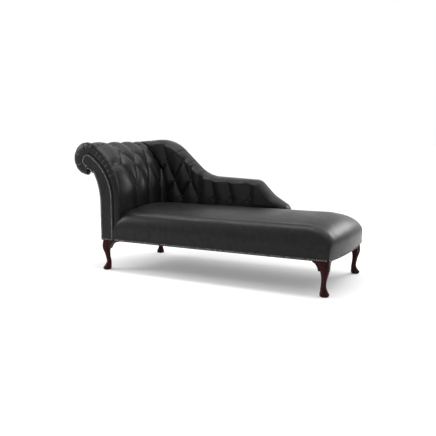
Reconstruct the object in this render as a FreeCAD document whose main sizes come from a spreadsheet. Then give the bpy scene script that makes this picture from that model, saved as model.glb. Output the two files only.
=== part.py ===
import FreeCAD, Part
import Sketcher
import math
import os

# A deep-buttoned chaise longue: a scrolled arm at the head, a back that sweeps
# down in a serpentine line, a sprung seat and four cabriole legs.
#
# Every sub-part is drawn from the corner of the frame: x runs from the head end
# to the foot end, y from the front face to the back, z up from the floor.
# Each Placement then moves it so that the origin is under the middle.

Vector = FreeCAD.Vector
doc = FreeCAD.newDocument("chaise_longue")


# Driving dimensions, in millimetres and degrees

SIZES = [
    # Seat frame
    ("seat_length", 1527),
    ("seat_depth", 684),
    ("leg_height", 196),
    ("rail_height", 76),
    ("rail_thick", 28),
    ("bearer_width", 60),
    ("bearer_thick", 22),
    ("block_leg", 92),
    ("block_height", 34),
    ("dowel_dia", 10),
    ("dowel_half", 19),
    # Seat upholstery
    ("leather", 3),
    ("soft_gap", 0.3),
    ("seat_rise", 190),
    ("seat_crown", 30),
    ("seat_roll", 80),
    ("seat_front_rise", 82),
    ("seat_head_drop", 62),
    ("seat_head_run", 120),
    ("foot_bow", 21),
    ("foot_corner_in", 6),
    ("foot_swell", 12),
    ("foot_round", 230),
    ("foot_face_share", 0.38),
    ("foot_corner_share", 0.45),
    ("hessian", 1.5),
    ("dust_sheet", 1),
    # Seat springs
    ("spring_count", 10),
    ("spring_wire", 3.6),
    ("spring_width", 50),
    ("spring_bend", 11),
    ("clip_thick", 2),
    ("clip_length", 26),
    ("clip_width", 16),
    ("tie_wire", 2),
    # Scroll facing at the front of the arm
    ("facing_width", 93),
    ("facing_straight_rise", 259),
    ("outer_straight_rise", 244),
    ("outer_sweep", 391),
    ("head_x", -98),
    ("head_rise", 509),
    ("head_radius", 42),
    ("neck_radius", 60),
    ("facing_leather", 4),
    ("facing_ply", 5),
    ("piping_dia", 5),
    # Arm roll, over its fullest line
    ("arm_front", 136),
    ("arm_straight_rise", 274),
    ("roll_x", -117),
    ("roll_rise", 523),
    ("roll_radius", 105),
    ("roll_end_angle", 300),
    ("band_end_angle", 262),
    ("band_depth", 36),
    ("band_pleats", 11),
    ("band_pleat", 3),
    ("slat_width", 40),
    ("slat_thick", 20),
    # Deep buttoning
    ("tuft", 26),
    ("pad_back", 5),
    ("pleat_gap", 2),
    ("pad_step", 24),
    ("pad_taper", 50),
    ("button_dia", 18),
    ("button_thick", 8),
    ("button_sink", 1.3),
    ("twine_dia", 2),
    ("knot_dia", 6),
    ("arm_pitch", 145),
    ("arm_low_angle", 9.3),
    ("arm_mid_angle", 33.5),
    ("arm_top_angle", 52.5),
    ("arm_first_button", 172),
    ("back_low_rise", 238),
    ("back_mid_rise", 356),
    ("back_top_rise", 488),
    ("back_low_first", 120),
    ("back_mid_first", 59),
    ("back_top_first", 129),
    ("back_low_pitch", 132),
    ("back_mid_pitch", 134),
    ("back_top_pitch", 140),
    ("back_pad_lean", 28),
    ("back_mid_clear", 50),
    ("back_top_clear", 100),
    # Back
    ("back_face", 604),
    ("back_board", 22),
    ("webbing", 2),
    ("web_width", 50),
    ("web_pitch", 85),
    ("back_roll", 34),
    ("back_roll_flat", 0.4),
    ("back_roll_pleat", 5),
    ("back_rail_inset", 14),
    ("back_rail_width", 70),
    ("post_width", 50),
    ("tail_x", 1048),
    ("tail_rise", 205.5),
    ("tail_round", 50),
    ("slope_end_x", 935),
    ("slope_end_rise", 273),
    ("slope_end_round", 150),
    ("shoulder_x", 836),
    ("shoulder_rise", 374),
    ("shoulder_round", 75),
    ("dip_x", 434),
    ("dip_rise", 391),
    ("dip_round", 240),
    ("crest_x", 149),
    ("crest_rise", 650),
    ("crest_round", 280),
    ("least_round", 11),
    # Legs and their fixings
    ("leg_inset", 24.5),
    ("knee_radius", 29),
    ("ankle_radius", 15),
    ("foot_radius", 27),
    ("sole_radius", 21),
    ("head_ear", 128),
    ("foot_ear", 92),
    ("ear_drop", 54),
    ("ear_thick", 34),
    ("ear_inset", 5),
    ("ear_tip", 6),
    ("bolt_dia", 8),
    ("bolt_inset", 45),
    ("bolt_in_leg", 30),
    ("nut_across", 13),
    ("nut_height", 6.5),
    ("washer_dia", 22),
    ("washer_thick", 1.6),
    ("screw_dia", 5),
    ("screw_head", 9),
    ("screw_length", 32),
    # Stud nails
    ("stud_dia", 10),
    ("stud_rise", 2.4),
    ("stud_pitch", 12.5),
    ("stud_edge", 7),
]

sizes = doc.addObject("Spreadsheet::Sheet", "sizes")
for row, (name, value) in enumerate(SIZES, start=1):
    sizes.set("A%d" % row, name)
    sizes.set("B%d" % row, str(value))
    sizes.setAlias("B%d" % row, name)

# Places that follow from the driving dimensions

PLACES = [
    ("middle_x", "(sizes.seat_length + sizes.foot_bow + sizes.foot_swell"
                 " + sizes.roll_x - sizes.roll_radius) / 2"),
    ("middle_y", "sizes.seat_depth / 2"),
    ("rail_top", "sizes.leg_height + sizes.rail_height"),
    ("frame_front", "sizes.leather + sizes.rail_thick"),
    ("frame_back", "sizes.seat_depth - sizes.leather - sizes.back_board"),
    ("board_front", "sizes.facing_leather + sizes.facing_ply"),
    ("board_edge", "sizes.facing_width + 1"),
    ("foot_rail_end", "sizes.seat_length - sizes.foot_corner_in - sizes.leather"
                      " - 2 * sizes.soft_gap"),
    ("spring_z", "rail_top + sizes.clip_thick + sizes.spring_wire / 2"),
    ("clip_top", "rail_top + 2 * sizes.clip_thick + sizes.spring_wire"),
    ("deck_top", "clip_top + sizes.hessian"),
    ("seat_edge", "sizes.leg_height + sizes.seat_rise"),
    ("foam_back", "frame_back - sizes.webbing - sizes.hessian"),
    ("foam_front", "sizes.back_face + sizes.pad_back + sizes.soft_gap"),
]

places = doc.addObject("Spreadsheet::Sheet", "places")
for row, (name, formula) in enumerate(PLACES, start=1):
    places.set("A%d" % row, name)
    places.set("B%d" % row, "=" + formula)
    places.setAlias("B%d" % row, name)
doc.recompute()


def size(name):
    return float(getattr(sizes, name))


def place(name):
    return float(getattr(places, name))


bottom = size("leg_height")


# Sub-parts, kept by label in the order in which they are made

subparts = []


def keep(item, label, corner=("0", "0", "0")):
    """Name a sub-part and tie its place to the sheets."""
    item.Label = label
    item.setExpression("Placement.Base.x", corner[0] + " - places.middle_x")
    item.setExpression("Placement.Base.y", corner[1] + " - places.middle_y")
    item.setExpression("Placement.Base.z", corner[2])
    subparts.append(item)
    return item


def formed(label, shape):
    """A piece whose shape is worked out from the sizes."""
    item = doc.addObject("Part::Feature", label)
    item.Shape = shape
    return keep(item, label)


def box_of(name, corner, extent):
    box = doc.addObject("Part::Box", name)
    for field, formula in zip(("Length", "Width", "Height"), extent):
        box.setExpression(field, formula)
    for axis, formula in zip("xyz", corner):
        box.setExpression("Placement.Base." + axis, formula)
    return box


def sketched_rectangle(body, name, length, width):
    """A rectangle on the body's floor plane, from its own corner."""
    sketch = body.newObject("Sketcher::SketchObject", name)
    floor = [item for item in body.Origin.OriginFeatures if item.Role == "XY_Plane"][0]
    sketch.AttachmentSupport = (floor, [""])
    sketch.MapMode = "FlatFace"
    corners = [Vector(0, 0, 0), Vector(50, 0, 0), Vector(50, 50, 0), Vector(0, 50, 0)]
    for start, end in zip(corners, corners[1:] + corners[:1]):
        sketch.addGeometry(Part.LineSegment(start, end), False)
    for side in range(4):
        sketch.addConstraint(Sketcher.Constraint("Coincident", side, 2, (side + 1) % 4, 1))
    sketch.addConstraint(Sketcher.Constraint("Coincident", 0, 1, -1, 1))
    for side, way in ((0, "Horizontal"), (1, "Vertical"), (2, "Horizontal"), (3, "Vertical")):
        sketch.addConstraint(Sketcher.Constraint(way, side))
    for side, way, formula in ((0, "DistanceX", length), (1, "DistanceY", width)):
        number = sketch.addConstraint(Sketcher.Constraint(way, side, 1, side, 2, 50))
        sketch.renameConstraint(number, way)
        sketch.setExpression("Constraints." + way, formula)
    return sketch


def plain_box(label, corner, extent):
    """A rectangular piece with nothing let into it, padded from a sketch."""
    body = doc.addObject("PartDesign::Body", label)
    pad = body.newObject("PartDesign::Pad", label + "_pad")
    pad.Profile = sketched_rectangle(body, label + "_outline", extent[0], extent[1])
    pad.setExpression("Length", extent[2])
    body.Tip = pad
    return keep(body, label, corner)


def board(label, corner, extent):
    """A rectangular rail with holes for whatever fixes it."""
    cut = doc.addObject("Part::Cut", label)
    cut.Base = box_of(label + "_blank", corner, extent)
    cut.Tool = fixing_holes
    return keep(cut, label)


def group(shapes):
    return Part.makeCompound(shapes)


def box_between(low, high):
    return Part.makeBox(high[0] - low[0], high[1] - low[1], high[2] - low[2], Vector(*low))


def one_solid(shape):
    """A boolean result as its single solid, with its seams merged."""
    clean = shape.removeSplitter()
    if len(clean.Solids) == 1:
        return clean.Solids[0]
    return clean


# Outlines in side view: straight and round stretches, with the outside to the right

def spot(point, y):
    return Vector(point[0], y, point[1])


def join(start, end, y):
    return Part.LineSegment(spot(start, y), spot(end, y)).toShape()


class Straight:
    def __init__(self, start, end):
        self.start = start
        self.end = end
        self.length = math.dist(start, end)
        self.heading = ((end[0] - start[0]) / self.length, (end[1] - start[1]) / self.length)

    def at(self, along):
        point = (self.start[0] + self.heading[0] * along, self.start[1] + self.heading[1] * along)
        return point, (self.heading[1], -self.heading[0])

    def beside(self, offset):
        shift = (self.heading[1] * offset, -self.heading[0] * offset)
        return Straight((self.start[0] + shift[0], self.start[1] + shift[1]),
                        (self.end[0] + shift[0], self.end[1] + shift[1]))

    def edges(self, y):
        return [join(self.start, self.end, y)]


class Bend:
    """A round stretch between two angles, in degrees about its centre."""

    def __init__(self, centre, radius, first, last):
        self.centre = centre
        self.radius = radius
        self.first = first
        self.last = last
        self.side = 1 if last > first else -1
        self.length = radius * math.radians(abs(last - first))

    def on_arc(self, angle):
        turn = math.radians(angle)
        return (self.centre[0] + self.radius * math.cos(turn),
                self.centre[1] + self.radius * math.sin(turn))

    def at(self, along):
        angle = self.first + (self.last - self.first) * along / self.length
        turn = math.radians(angle)
        return self.on_arc(angle), (self.side * math.cos(turn), self.side * math.sin(turn))

    def beside(self, offset):
        return Bend(self.centre, self.radius + self.side * offset, self.first, self.last)

    def edges(self, y):
        """Arcs of under a half circle."""
        count = math.ceil(abs(self.last - self.first) / 150)
        step = (self.last - self.first) / count
        arcs = []
        for number in range(count):
            first = self.first + step * number
            ends = [self.on_arc(first + step * share) for share in (0, 0.5, 1)]
            arcs.append(Part.Arc(*[spot(end, y) for end in ends]).toShape())
        return arcs


class Outline:
    """Stretches in a row, each starting where the last one ends."""

    def __init__(self, stretches):
        self.stretches = stretches
        self.length = sum(stretch.length for stretch in stretches)

    def at(self, along):
        for stretch in self.stretches:
            if along <= stretch.length:
                return stretch.at(max(along, 0))
            along -= stretch.length
        return self.stretches[-1].at(self.stretches[-1].length)

    def beside(self, offset):
        return Outline([stretch.beside(offset) for stretch in self.stretches])

    def edges(self, y):
        return [edge for stretch in self.stretches for edge in stretch.edges(y)]

    def start(self):
        return self.at(0)[0]

    def end(self):
        return self.at(self.length)[0]

    def length_where(self, passed):
        """How far along the first point lies that passes a test."""
        low, high = 0, self.length
        while high - low > 0.01:
            middle = (low + high) / 2
            if passed(self.at(middle)[0]):
                high = middle
            else:
                low = middle
        return high


def heading_angle(start, end):
    return math.degrees(math.atan2(end[1] - start[1], end[0] - start[0]))


def crossing(first, first_radius, second, second_radius, side):
    """One of the two points where two circles cross."""
    apart = math.dist(first, second)
    share = (first_radius ** 2 - second_radius ** 2 + apart ** 2) / (2 * apart)
    height = math.sqrt(max(first_radius ** 2 - share ** 2, 0)) * side
    along = ((second[0] - first[0]) / apart, (second[1] - first[1]) / apart)
    return (first[0] + along[0] * share - along[1] * height,
            first[1] + along[1] * share + along[0] * height)


def meeting(first, second):
    """Where two straight lines meet."""
    cross = first.heading[0] * second.heading[1] - first.heading[1] * second.heading[0]
    apart = (second.start[0] - first.start[0], second.start[1] - first.start[1])
    along = (apart[0] * second.heading[1] - apart[1] * second.heading[0]) / cross
    return first.at(along)[0]


def turn_between(first, second):
    return math.atan2(first[0] * second[1] - first[1] * second[0],
                      first[0] * second[0] + first[1] * second[1])


def rounded(corners, radii, inset=0):
    """Straight stretches joined by tangent arcs, drawn in by an inset."""
    lines = [Straight(a, b).beside(-inset) for a, b in zip(corners, corners[1:])]
    knobs = [meeting(a, b) for a, b in zip(lines, lines[1:])]
    stretches = []
    start = lines[0].start
    for come, knob, leave, radius in zip(lines, knobs, lines[1:], radii):
        turn = turn_between(come.heading, leave.heading)
        side = 1 if turn > 0 else -1
        radius = max(radius - side * inset, size("least_round"))
        reach = radius * math.tan(abs(turn) / 2)
        touch = (knob[0] - come.heading[0] * reach, knob[1] - come.heading[1] * reach)
        centre = (touch[0] - come.heading[1] * radius * side,
                  touch[1] + come.heading[0] * radius * side)
        first = heading_angle(centre, touch)
        stretches.append(Straight(start, touch))
        stretches.append(Bend(centre, radius, first, first + math.degrees(turn)))
        start = (knob[0] + leave.heading[0] * reach, knob[1] + leave.heading[1] * reach)
    stretches.append(Straight(start, lines[-1].end))
    return Outline(stretches)


def prism(edges, front, back):
    """A closed outline, drawn at the front, carried to the back."""
    wire = Part.Wire(Part.sortEdges(edges)[0])
    return Part.Face(wire).extrude(Vector(0, back - front, 0))


def sheet_along(outline, outside, inside, front, back):
    """A bent sheet between two offsets of one outline."""
    outer = outline.beside(outside)
    inner = outline.beside(inside)
    edges = outer.edges(front) + inner.edges(front)
    edges.append(join(outer.end(), inner.end(), front))
    edges.append(join(inner.start(), outer.start(), front))
    return prism(edges, front, back)


def closed_by(outline, points, front, back):
    """An outline closed by straight edges through more points."""
    row = [outline.end()] + points + [outline.start()]
    edges = outline.edges(front) + [join(a, b, front) for a, b in zip(row, row[1:])]
    return prism(edges, front, back)


# The scroll facing and the boards behind it share one outline

def tangent_sweep(width, rise, end_radius):
    """Radius of the sweep that leaves a straight edge and meets a round end."""
    return (width ** 2 + rise ** 2 - end_radius ** 2) / (2 * (width - end_radius))


head = (size("head_x"), bottom + size("head_rise"))
facing_straight = bottom + size("facing_straight_rise")
outer_straight = bottom + size("outer_straight_rise")
facing_sweep = tangent_sweep(size("facing_width") - head[0], head[1] - facing_straight,
                             size("head_radius"))
facing_centre = (size("facing_width") - facing_sweep, facing_straight)
facing_lean = heading_angle(facing_centre, head)
outer_centre = (-size("outer_sweep"), outer_straight)
neck = crossing(outer_centre, size("outer_sweep") - size("neck_radius"),
                head, size("head_radius") + size("neck_radius"), -1)
outer_lean = heading_angle(outer_centre, neck)


def facing_inner(grow, start_z, end_angle):
    """The inner edge of the facing and round its head."""
    width = size("facing_width") + grow
    return Outline([
        Straight((width, start_z), (width, facing_straight)),
        Bend(facing_centre, facing_sweep + grow, 0, facing_lean),
        Bend(head, size("head_radius") + grow, facing_lean, end_angle),
    ])


def facing_outer(inset):
    """Round the neck and down the outer edge of the facing to the rails."""
    neck_radius = size("neck_radius") + inset
    return Outline([
        Bend(neck, neck_radius, heading_angle(neck, head), outer_lean),
        Bend(outer_centre, size("outer_sweep") + inset, outer_lean, 0),
        Straight((inset, outer_straight), (inset, bottom)),
    ])


def facing_prism(grow, inset, front, back):
    """The whole facing, grown on its inner side and drawn in outside."""
    head_radius = size("head_radius") + grow
    neck_radius = size("neck_radius") + inset
    meet = crossing(head, head_radius, neck, neck_radius, -1)
    head_end = heading_angle(head, meet) % 360
    inner = facing_inner(grow, bottom, head_end)
    turn = Bend(neck, neck_radius, heading_angle(neck, meet), outer_lean)
    outer = Outline([turn] + facing_outer(inset).stretches[1:])
    edges = inner.edges(front) + outer.edges(front)
    edges.append(join(outer.end(), inner.start(), front))
    return prism(edges, front, back)


# The arm roll: a straight face, a long sweep and a round roll

roll = (size("roll_x"), bottom + size("roll_rise"))
arm_straight = bottom + size("arm_straight_rise")
arm_sweep = tangent_sweep(size("arm_front") - roll[0], roll[1] - arm_straight,
                          size("roll_radius"))
arm_centre = (size("arm_front") - arm_sweep, arm_straight)
arm_lean = heading_angle(arm_centre, roll)


def arm_outline(inset, start_z):
    return Outline([
        Straight((size("arm_front") - inset, start_z), (size("arm_front") - inset, arm_straight)),
        Bend(arm_centre, arm_sweep - inset, 0, arm_lean),
        Bend(roll, size("roll_radius") - inset, arm_lean, size("roll_end_angle")),
    ])


def arm_full_prism(grow):
    """All that lies inside the fullest line of the arm, at any depth."""
    outline = arm_outline(-grow, bottom)
    return closed_by(outline, [(0, outer_straight), (0, bottom)], -size("leather"),
                     size("seat_depth") + size("leather"))


# The serpentine top of the back, from the tail towards the head end

back_corners = [(size("tail_x"), place("rail_top"))]
back_radii = []
for knob in ("tail", "slope_end", "shoulder", "dip", "crest"):
    back_corners.append((size(knob + "_x"), bottom + size(knob + "_rise")))
    back_radii.append(size(knob + "_round"))
back_corners.append((roll[0], roll[1] + size("roll_radius")))
back_outline = rounded(back_corners, back_radii)


def back_region(inset, floor_z, front, back):
    """Everything under the top of the back, drawn in by an inset."""
    outline = rounded(back_corners, back_radii, inset)
    foot = (outline.start()[0], floor_z)
    points = [(roll[0], floor_z), foot] if floor_z != outline.start()[1] else [(roll[0], floor_z)]
    return closed_by(outline, points, front, back)


# The seat's stuffed form, from the arm to the foot end

def foot_end_x(y, inset):
    """The bowed foot end in plan, where the leather meets the floor side."""
    half = size("seat_depth") / 2
    bow = size("foot_bow") + size("foot_corner_in")
    return (size("seat_length") - size("foot_corner_in") - inset
            + bow * (1 - ((y - half) / half) ** 2))


def seat_height(y):
    """Height of the seat's long top edge at a depth, before the crown."""
    low = bottom + size("seat_front_rise")
    high = place("seat_edge")
    near = min(y, size("seat_depth") - y)
    if near >= size("seat_roll"):
        span = size("seat_depth") / 2 - size("seat_roll")
        share = (near - size("seat_roll")) / span
        return high + size("seat_crown") * (1 - (1 - share) ** 2)
    share = 1 - max(near, 0) / size("seat_roll")
    return low + (high - low) * math.sqrt(1 - share ** 2)


def seat_head_height(y):
    """Height at which the seat dives under the arm."""
    drop = size("seat_head_drop") * (1 - 0.6 * y / size("seat_depth"))
    return seat_height(y) - drop * (seat_height(y) - bottom) / size("seat_rise")


def foot_face(scale):
    """Share of the foot end's height below its rounding, more at the corners."""
    return size("foot_face_share") + size("foot_corner_share") * (1 - scale)


def seat_section(y, inset, low_z):
    """Side view of the seat at one depth, with a round foot end."""
    start = place("board_edge") + size("soft_gap")
    top = seat_height(y) - inset
    head_top = seat_head_height(y) - inset
    rise = top - bottom
    scale = rise / (size("seat_rise") + size("seat_crown"))
    end = foot_end_x(y, inset)
    full = end + size("foot_swell") * scale
    face_top = bottom + rise * foot_face(scale)
    round_start = full - size("foot_round") * scale ** 1.5
    run_end = start + size("seat_head_run")
    shoulder = (round_start + (full - round_start) * math.sin(math.radians(45)),
                face_top + (top - face_top) * math.sin(math.radians(45)))
    rows = [(start, low_z), (end, low_z)]
    edges = [join(rows[0], rows[1], y)]
    middle_z = (low_z + face_top) / 2
    face_arc = [(end, low_z), (end + (full - end) * 0.8, middle_z), (full, face_top)]
    foot_arc = [(full, face_top), shoulder, (round_start, top)]
    head_arc = [(run_end, top), (start + size("seat_head_run") / 2,
                                 head_top + (top - head_top) * 0.72), (start, head_top)]
    edges.append(Part.Arc(*[spot(p, y) for p in face_arc]).toShape())
    edges.append(Part.Arc(*[spot(p, y) for p in foot_arc]).toShape())
    edges.append(join((round_start, top), (run_end, top), y))
    edges.append(Part.Arc(*[spot(p, y) for p in head_arc]).toShape())
    edges.append(join((start, head_top), (start, low_z), y))
    return Part.Wire(edges)


def seat_form(inset, low_z):
    """The crowned seat, lofted from front to back through its sections."""
    roll_in = size("seat_roll")
    depth = size("seat_depth")
    lift = [0, 12, 28, 46, 66, 90]
    near = [roll_in * (1 - math.cos(math.radians(angle))) for angle in lift]
    near += [roll_in + (depth / 2 - roll_in) * share for share in (0.35, 0.7)]
    stations = near + [depth / 2] + [depth - y for y in reversed(near)]
    squeeze = (depth - 2 * inset) / depth
    wires = []
    for y in stations:
        wire = seat_section(y, inset, low_z)
        wire.translate(Vector(0, inset + y * squeeze - y, 0))
        wires.append(wire)
    return Part.makeLoft(wires, True, False)


def seat_top(x, y):
    """Height of the seat's leather where the arm or the back meets it."""
    share = min(max((x - place("board_edge")) / size("seat_head_run"), 0), 1)
    low = seat_head_height(y)
    return low + (seat_height(y) - low) * math.sqrt(1 - (1 - share) ** 2)


# Fixings: dowels, block screws and leg bolts

def rail_ends():
    """The four corners of the frame, each with the way in along x and y."""
    length = place("foot_rail_end") + size("leather")
    depth = size("seat_depth")
    return [
        ("front_head", 0, 0, 1, 1),
        ("front_foot", length, 0, -1, 1),
        ("rear_head", 0, depth, 1, -1),
        ("rear_foot", length, depth, -1, -1),
    ]


def block_corner(corner_x, way_x, way_y):
    """The inner corner of the frame that a block fills."""
    x = corner_x + way_x * (size("leather") + size("rail_thick"))
    return x, place("frame_front") if way_y > 0 else place("frame_back")


def dowel(x, y, z, along):
    half = size("dowel_half")
    start = Vector(x, y, z) - along * half
    return Part.makeCylinder(size("dowel_dia") / 2, 2 * half, start, along)


def dowels():
    """Two at each rail end, one at each end of the bearer and the arm slats."""
    along_x, along_y, along_z = Vector(1, 0, 0), Vector(0, 1, 0), Vector(0, 0, 1)
    heights = [bottom + size("rail_height") * share for share in (0.14, 0.8)]
    front_y = size("leather") + size("rail_thick") / 2
    board_y = (place("board_front") + place("frame_front")) / 2
    back_y = size("seat_depth") - size("leather") - size("back_board") / 2
    foot_x = place("foot_rail_end") - size("rail_thick")
    head_x = size("leather") + size("rail_thick") / 2
    pieces = []
    for z in heights:
        for x, y in ((foot_x, front_y), (foot_x, back_y),
                     (place("board_edge"), board_y), (place("board_edge"), back_y)):
            pieces.append(dowel(x, y, z, along_x))
        for y in (place("frame_front"), place("frame_back")):
            pieces.append(dowel(head_x, y, z, along_y))
    bearer_z = bottom + size("bearer_thick") / 2
    for y in (place("frame_front"), place("frame_back")):
        pieces.append(dowel(size("seat_length") / 2, y, bearer_z, along_y))
        for point, lean in slat_places():
            pieces.append(dowel(point[0], y, point[1], along_y))
    for x in post_places():
        pieces.append(dowel(x + size("post_width") / 2, back_y, place("rail_top"), along_z))
    return pieces


def slat_places():
    """Centres and leans of the slats that join the two scroll boards."""
    inner = facing_inner(1, place("rail_top"), 200)
    half = size("slat_width") / 2
    rows = []
    for share, radius in ((0.3, facing_sweep), (0.62, facing_sweep),
                          (0.87, size("head_radius"))):
        point, outward = inner.at(inner.length * share)
        bow = radius - math.sqrt(radius ** 2 - half ** 2)
        inset = size("slat_thick") / 2 + bow + size("soft_gap")
        centre = (point[0] - outward[0] * inset, point[1] - outward[1] * inset)
        rows.append((centre, math.degrees(math.atan2(outward[1], outward[0]))))
    return rows


def post_places():
    """Head-side edges of the posts in the back frame."""
    first = place("board_edge") + size("webbing") + size("hessian") + size("soft_gap")
    last = size("shoulder_x") - size("post_width")
    return [first, (first + last) / 2, last]


def block_screws():
    """Two screws through each corner block into its rails."""
    screws = []
    thread = size("screw_dia") / 2
    for name, corner_x, corner_y, way_x, way_y in rail_ends():
        x, y = block_corner(corner_x, way_x, way_y)
        z = bottom + size("block_height") * 0.65
        for share_x, share_y in ((0.7, 0.15), (0.15, 0.7)):
            start = Vector(x + way_x * share_x * size("block_leg"),
                           y + way_y * share_y * size("block_leg"), z)
            along = Vector(0, -way_y, 0) if share_x > share_y else Vector(-way_x, 0, 0)
            cone = Part.makeCone(size("screw_head") / 2, thread, thread, start, along)
            shank = Part.makeCylinder(thread, size("screw_length") - thread,
                                      start + along * thread, along)
            screws.append(one_solid(cone.fuse(shank)))
    return screws


def bolt_place(corner_x, corner_y, way_x, way_y):
    return corner_x + way_x * size("bolt_inset"), corner_y + way_y * size("bolt_inset")


def leg_bolts():
    """A threaded rod up from each leg through its block, with washer and nut."""
    bolts, nuts, washers = [], [], []
    radius = size("bolt_dia") / 2
    block_top = bottom + size("block_height")
    end = block_top + size("washer_thick") + size("nut_height") + size("bolt_dia") / 2
    for name, *corner in rail_ends():
        x, y = bolt_place(*corner)
        low = bottom - size("bolt_in_leg")
        bolts.append(Part.makeCylinder(radius, end - low, Vector(x, y, low)))
        washer = Part.makeCylinder(size("washer_dia") / 2, size("washer_thick"),
                                   Vector(x, y, block_top))
        nut_z = block_top + size("washer_thick")
        reach = size("nut_across") / math.sqrt(3)
        ring = [Vector(x + reach * math.cos(math.radians(60 * turn)),
                       y + reach * math.sin(math.radians(60 * turn)), nut_z)
                for turn in range(7)]
        nut = Part.Face(Part.makePolygon(ring)).extrude(Vector(0, 0, size("nut_height")))
        washers.append(one_solid(washer.cut(bolts[-1])))
        nuts.append(one_solid(nut.cut(bolts[-1])))
    return bolts, nuts, washers


dowel_pieces = dowels()
screw_pieces = block_screws()
bolt_pieces, nut_pieces, washer_pieces = leg_bolts()
fixing_pieces = dowel_pieces + screw_pieces + bolt_pieces
fixing_holes = doc.addObject("Part::Feature", "fixing_holes")
fixing_holes.Shape = group(fixing_pieces)


def let_in(shape):
    """Cut the holes for every fixing that reaches this piece."""
    near = [piece for piece in fixing_pieces if piece.BoundBox.intersect(shape.BoundBox)]
    return one_solid(shape.cut(near)) if near else shape


def make_fixings():
    formed("frame_dowels", group(dowel_pieces))
    formed("corner_block_screws", group(screw_pieces))
    formed("leg_bolts", group(bolt_pieces))
    formed("leg_nuts", group(nut_pieces))
    formed("leg_washers", group(washer_pieces))


# The frame of beech rails and boards

def make_seat_frame():
    inner_length = "places.foot_rail_end - sizes.rail_thick - places.board_edge"
    board("front_seat_rail",
          ("places.board_edge", "sizes.leather", "sizes.leg_height"),
          (inner_length, "sizes.rail_thick", "sizes.rail_height"))
    board("back_seat_rail",
          ("places.board_edge", "places.frame_back", "sizes.leg_height"),
          (inner_length, "sizes.back_board", "sizes.rail_height"))
    board("head_seat_rail",
          ("sizes.leather", "places.frame_front", "sizes.leg_height"),
          ("sizes.rail_thick", "places.frame_back - places.frame_front", "sizes.rail_height"))
    board("foot_seat_rail",
          ("places.foot_rail_end - sizes.rail_thick", "sizes.leather", "sizes.leg_height"),
          ("sizes.rail_thick", "sizes.seat_depth - 2 * sizes.leather", "sizes.rail_height"))
    board("centre_bearer",
          ("sizes.seat_length / 2 - sizes.bearer_width / 2", "places.frame_front",
           "sizes.leg_height"),
          ("sizes.bearer_width", "places.frame_back - places.frame_front",
           "sizes.bearer_thick"))
    plain_box("rear_spring_batten",
              ("places.board_edge", "places.frame_back - sizes.rail_thick",
               "places.rail_top - sizes.rail_thick"),
              (inner_length, "sizes.rail_thick", "sizes.rail_thick"))


def make_corner_blocks():
    """Triangular blocks that brace the rails and take the leg bolts."""
    reach = size("block_leg")
    blocks = []
    for name, corner_x, corner_y, way_x, way_y in rail_ends():
        x, y = block_corner(corner_x, way_x, way_y)
        points = [Vector(x, y, bottom), Vector(x + way_x * reach, y, bottom),
                  Vector(x, y + way_y * reach, bottom), Vector(x, y, bottom)]
        block = Part.Face(Part.makePolygon(points)).extrude(Vector(0, 0, size("block_height")))
        blocks.append(let_in(block))
    formed("corner_blocks", group(blocks))


def make_arm_frame():
    front = facing_prism(1, size("leather"), place("board_front"), place("frame_front"))
    formed("front_scroll_board", let_in(front))
    back_end = size("seat_depth") - size("leather")
    rear = facing_prism(1, size("leather"), place("frame_back"), back_end)
    disc = Part.makeCylinder(size("roll_radius") - size("leather"), size("back_board"),
                             spot(roll, place("frame_back")), Vector(0, 1, 0))
    formed("rear_scroll_board", let_in(one_solid(rear.fuse(disc))))
    span = place("frame_back") - place("frame_front")
    for label, (centre, lean) in zip(("arm_lower_slat", "arm_middle_slat", "arm_roll_slat"),
                                     slat_places()):
        slat = Part.makeBox(size("slat_thick"), span, size("slat_width"),
                            Vector(-size("slat_thick") / 2, 0, -size("slat_width") / 2))
        slat.rotate(Vector(0, 0, 0), Vector(0, 1, 0), -lean)
        slat.translate(spot(centre, place("frame_front")))
        formed(label, let_in(slat))


def shape_of(label):
    """A sub-part's shape in corner coordinates, to cut another one with."""
    shape = next(item for item in subparts if item.Label == label).Shape.copy()
    shape.Placement = FreeCAD.Placement()
    return shape


def rear_board_shape():
    return shape_of("rear_scroll_board")


def make_back_frame():
    """A serpentine rail, with posts under it that stand on the seat rail."""
    front, back = place("frame_back"), size("seat_depth") - size("leather")
    inset = size("back_rail_inset")
    inner = inset + size("back_rail_width")
    under = back_region(inner, place("rail_top"), front, back)
    rail = back_region(inset, place("rail_top"), front, back).cut(under)
    rail = rail.cut(rear_board_shape())
    rail = max(rail.Solids, key=lambda solid: solid.Volume)
    formed("back_serpentine_rail", let_in(one_solid(rail)))
    for number, x in enumerate(post_places(), start=1):
        post = box_between((x, front, place("rail_top")),
                           (x + size("post_width"), back, 2 * place("seat_edge")))
        post = max(post.common(under).Solids, key=lambda solid: solid.Volume)
        formed("back_post_%d" % number, let_in(one_solid(post)))


# Springs, webbing and hessian

def spring_rows():
    first = place("board_edge") + size("post_width") + size("spring_width")
    last = place("foot_rail_end") - size("rail_thick") - size("spring_width")
    count = int(size("spring_count"))
    return [first + (last - first) * number / (count - 1) for number in range(count)]


def spring_span():
    """From the middle of the front rail to the middle of the rear batten."""
    return (size("leather") + size("rail_thick") / 2,
            place("frame_back") - size("rail_thick") / 2)


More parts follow.
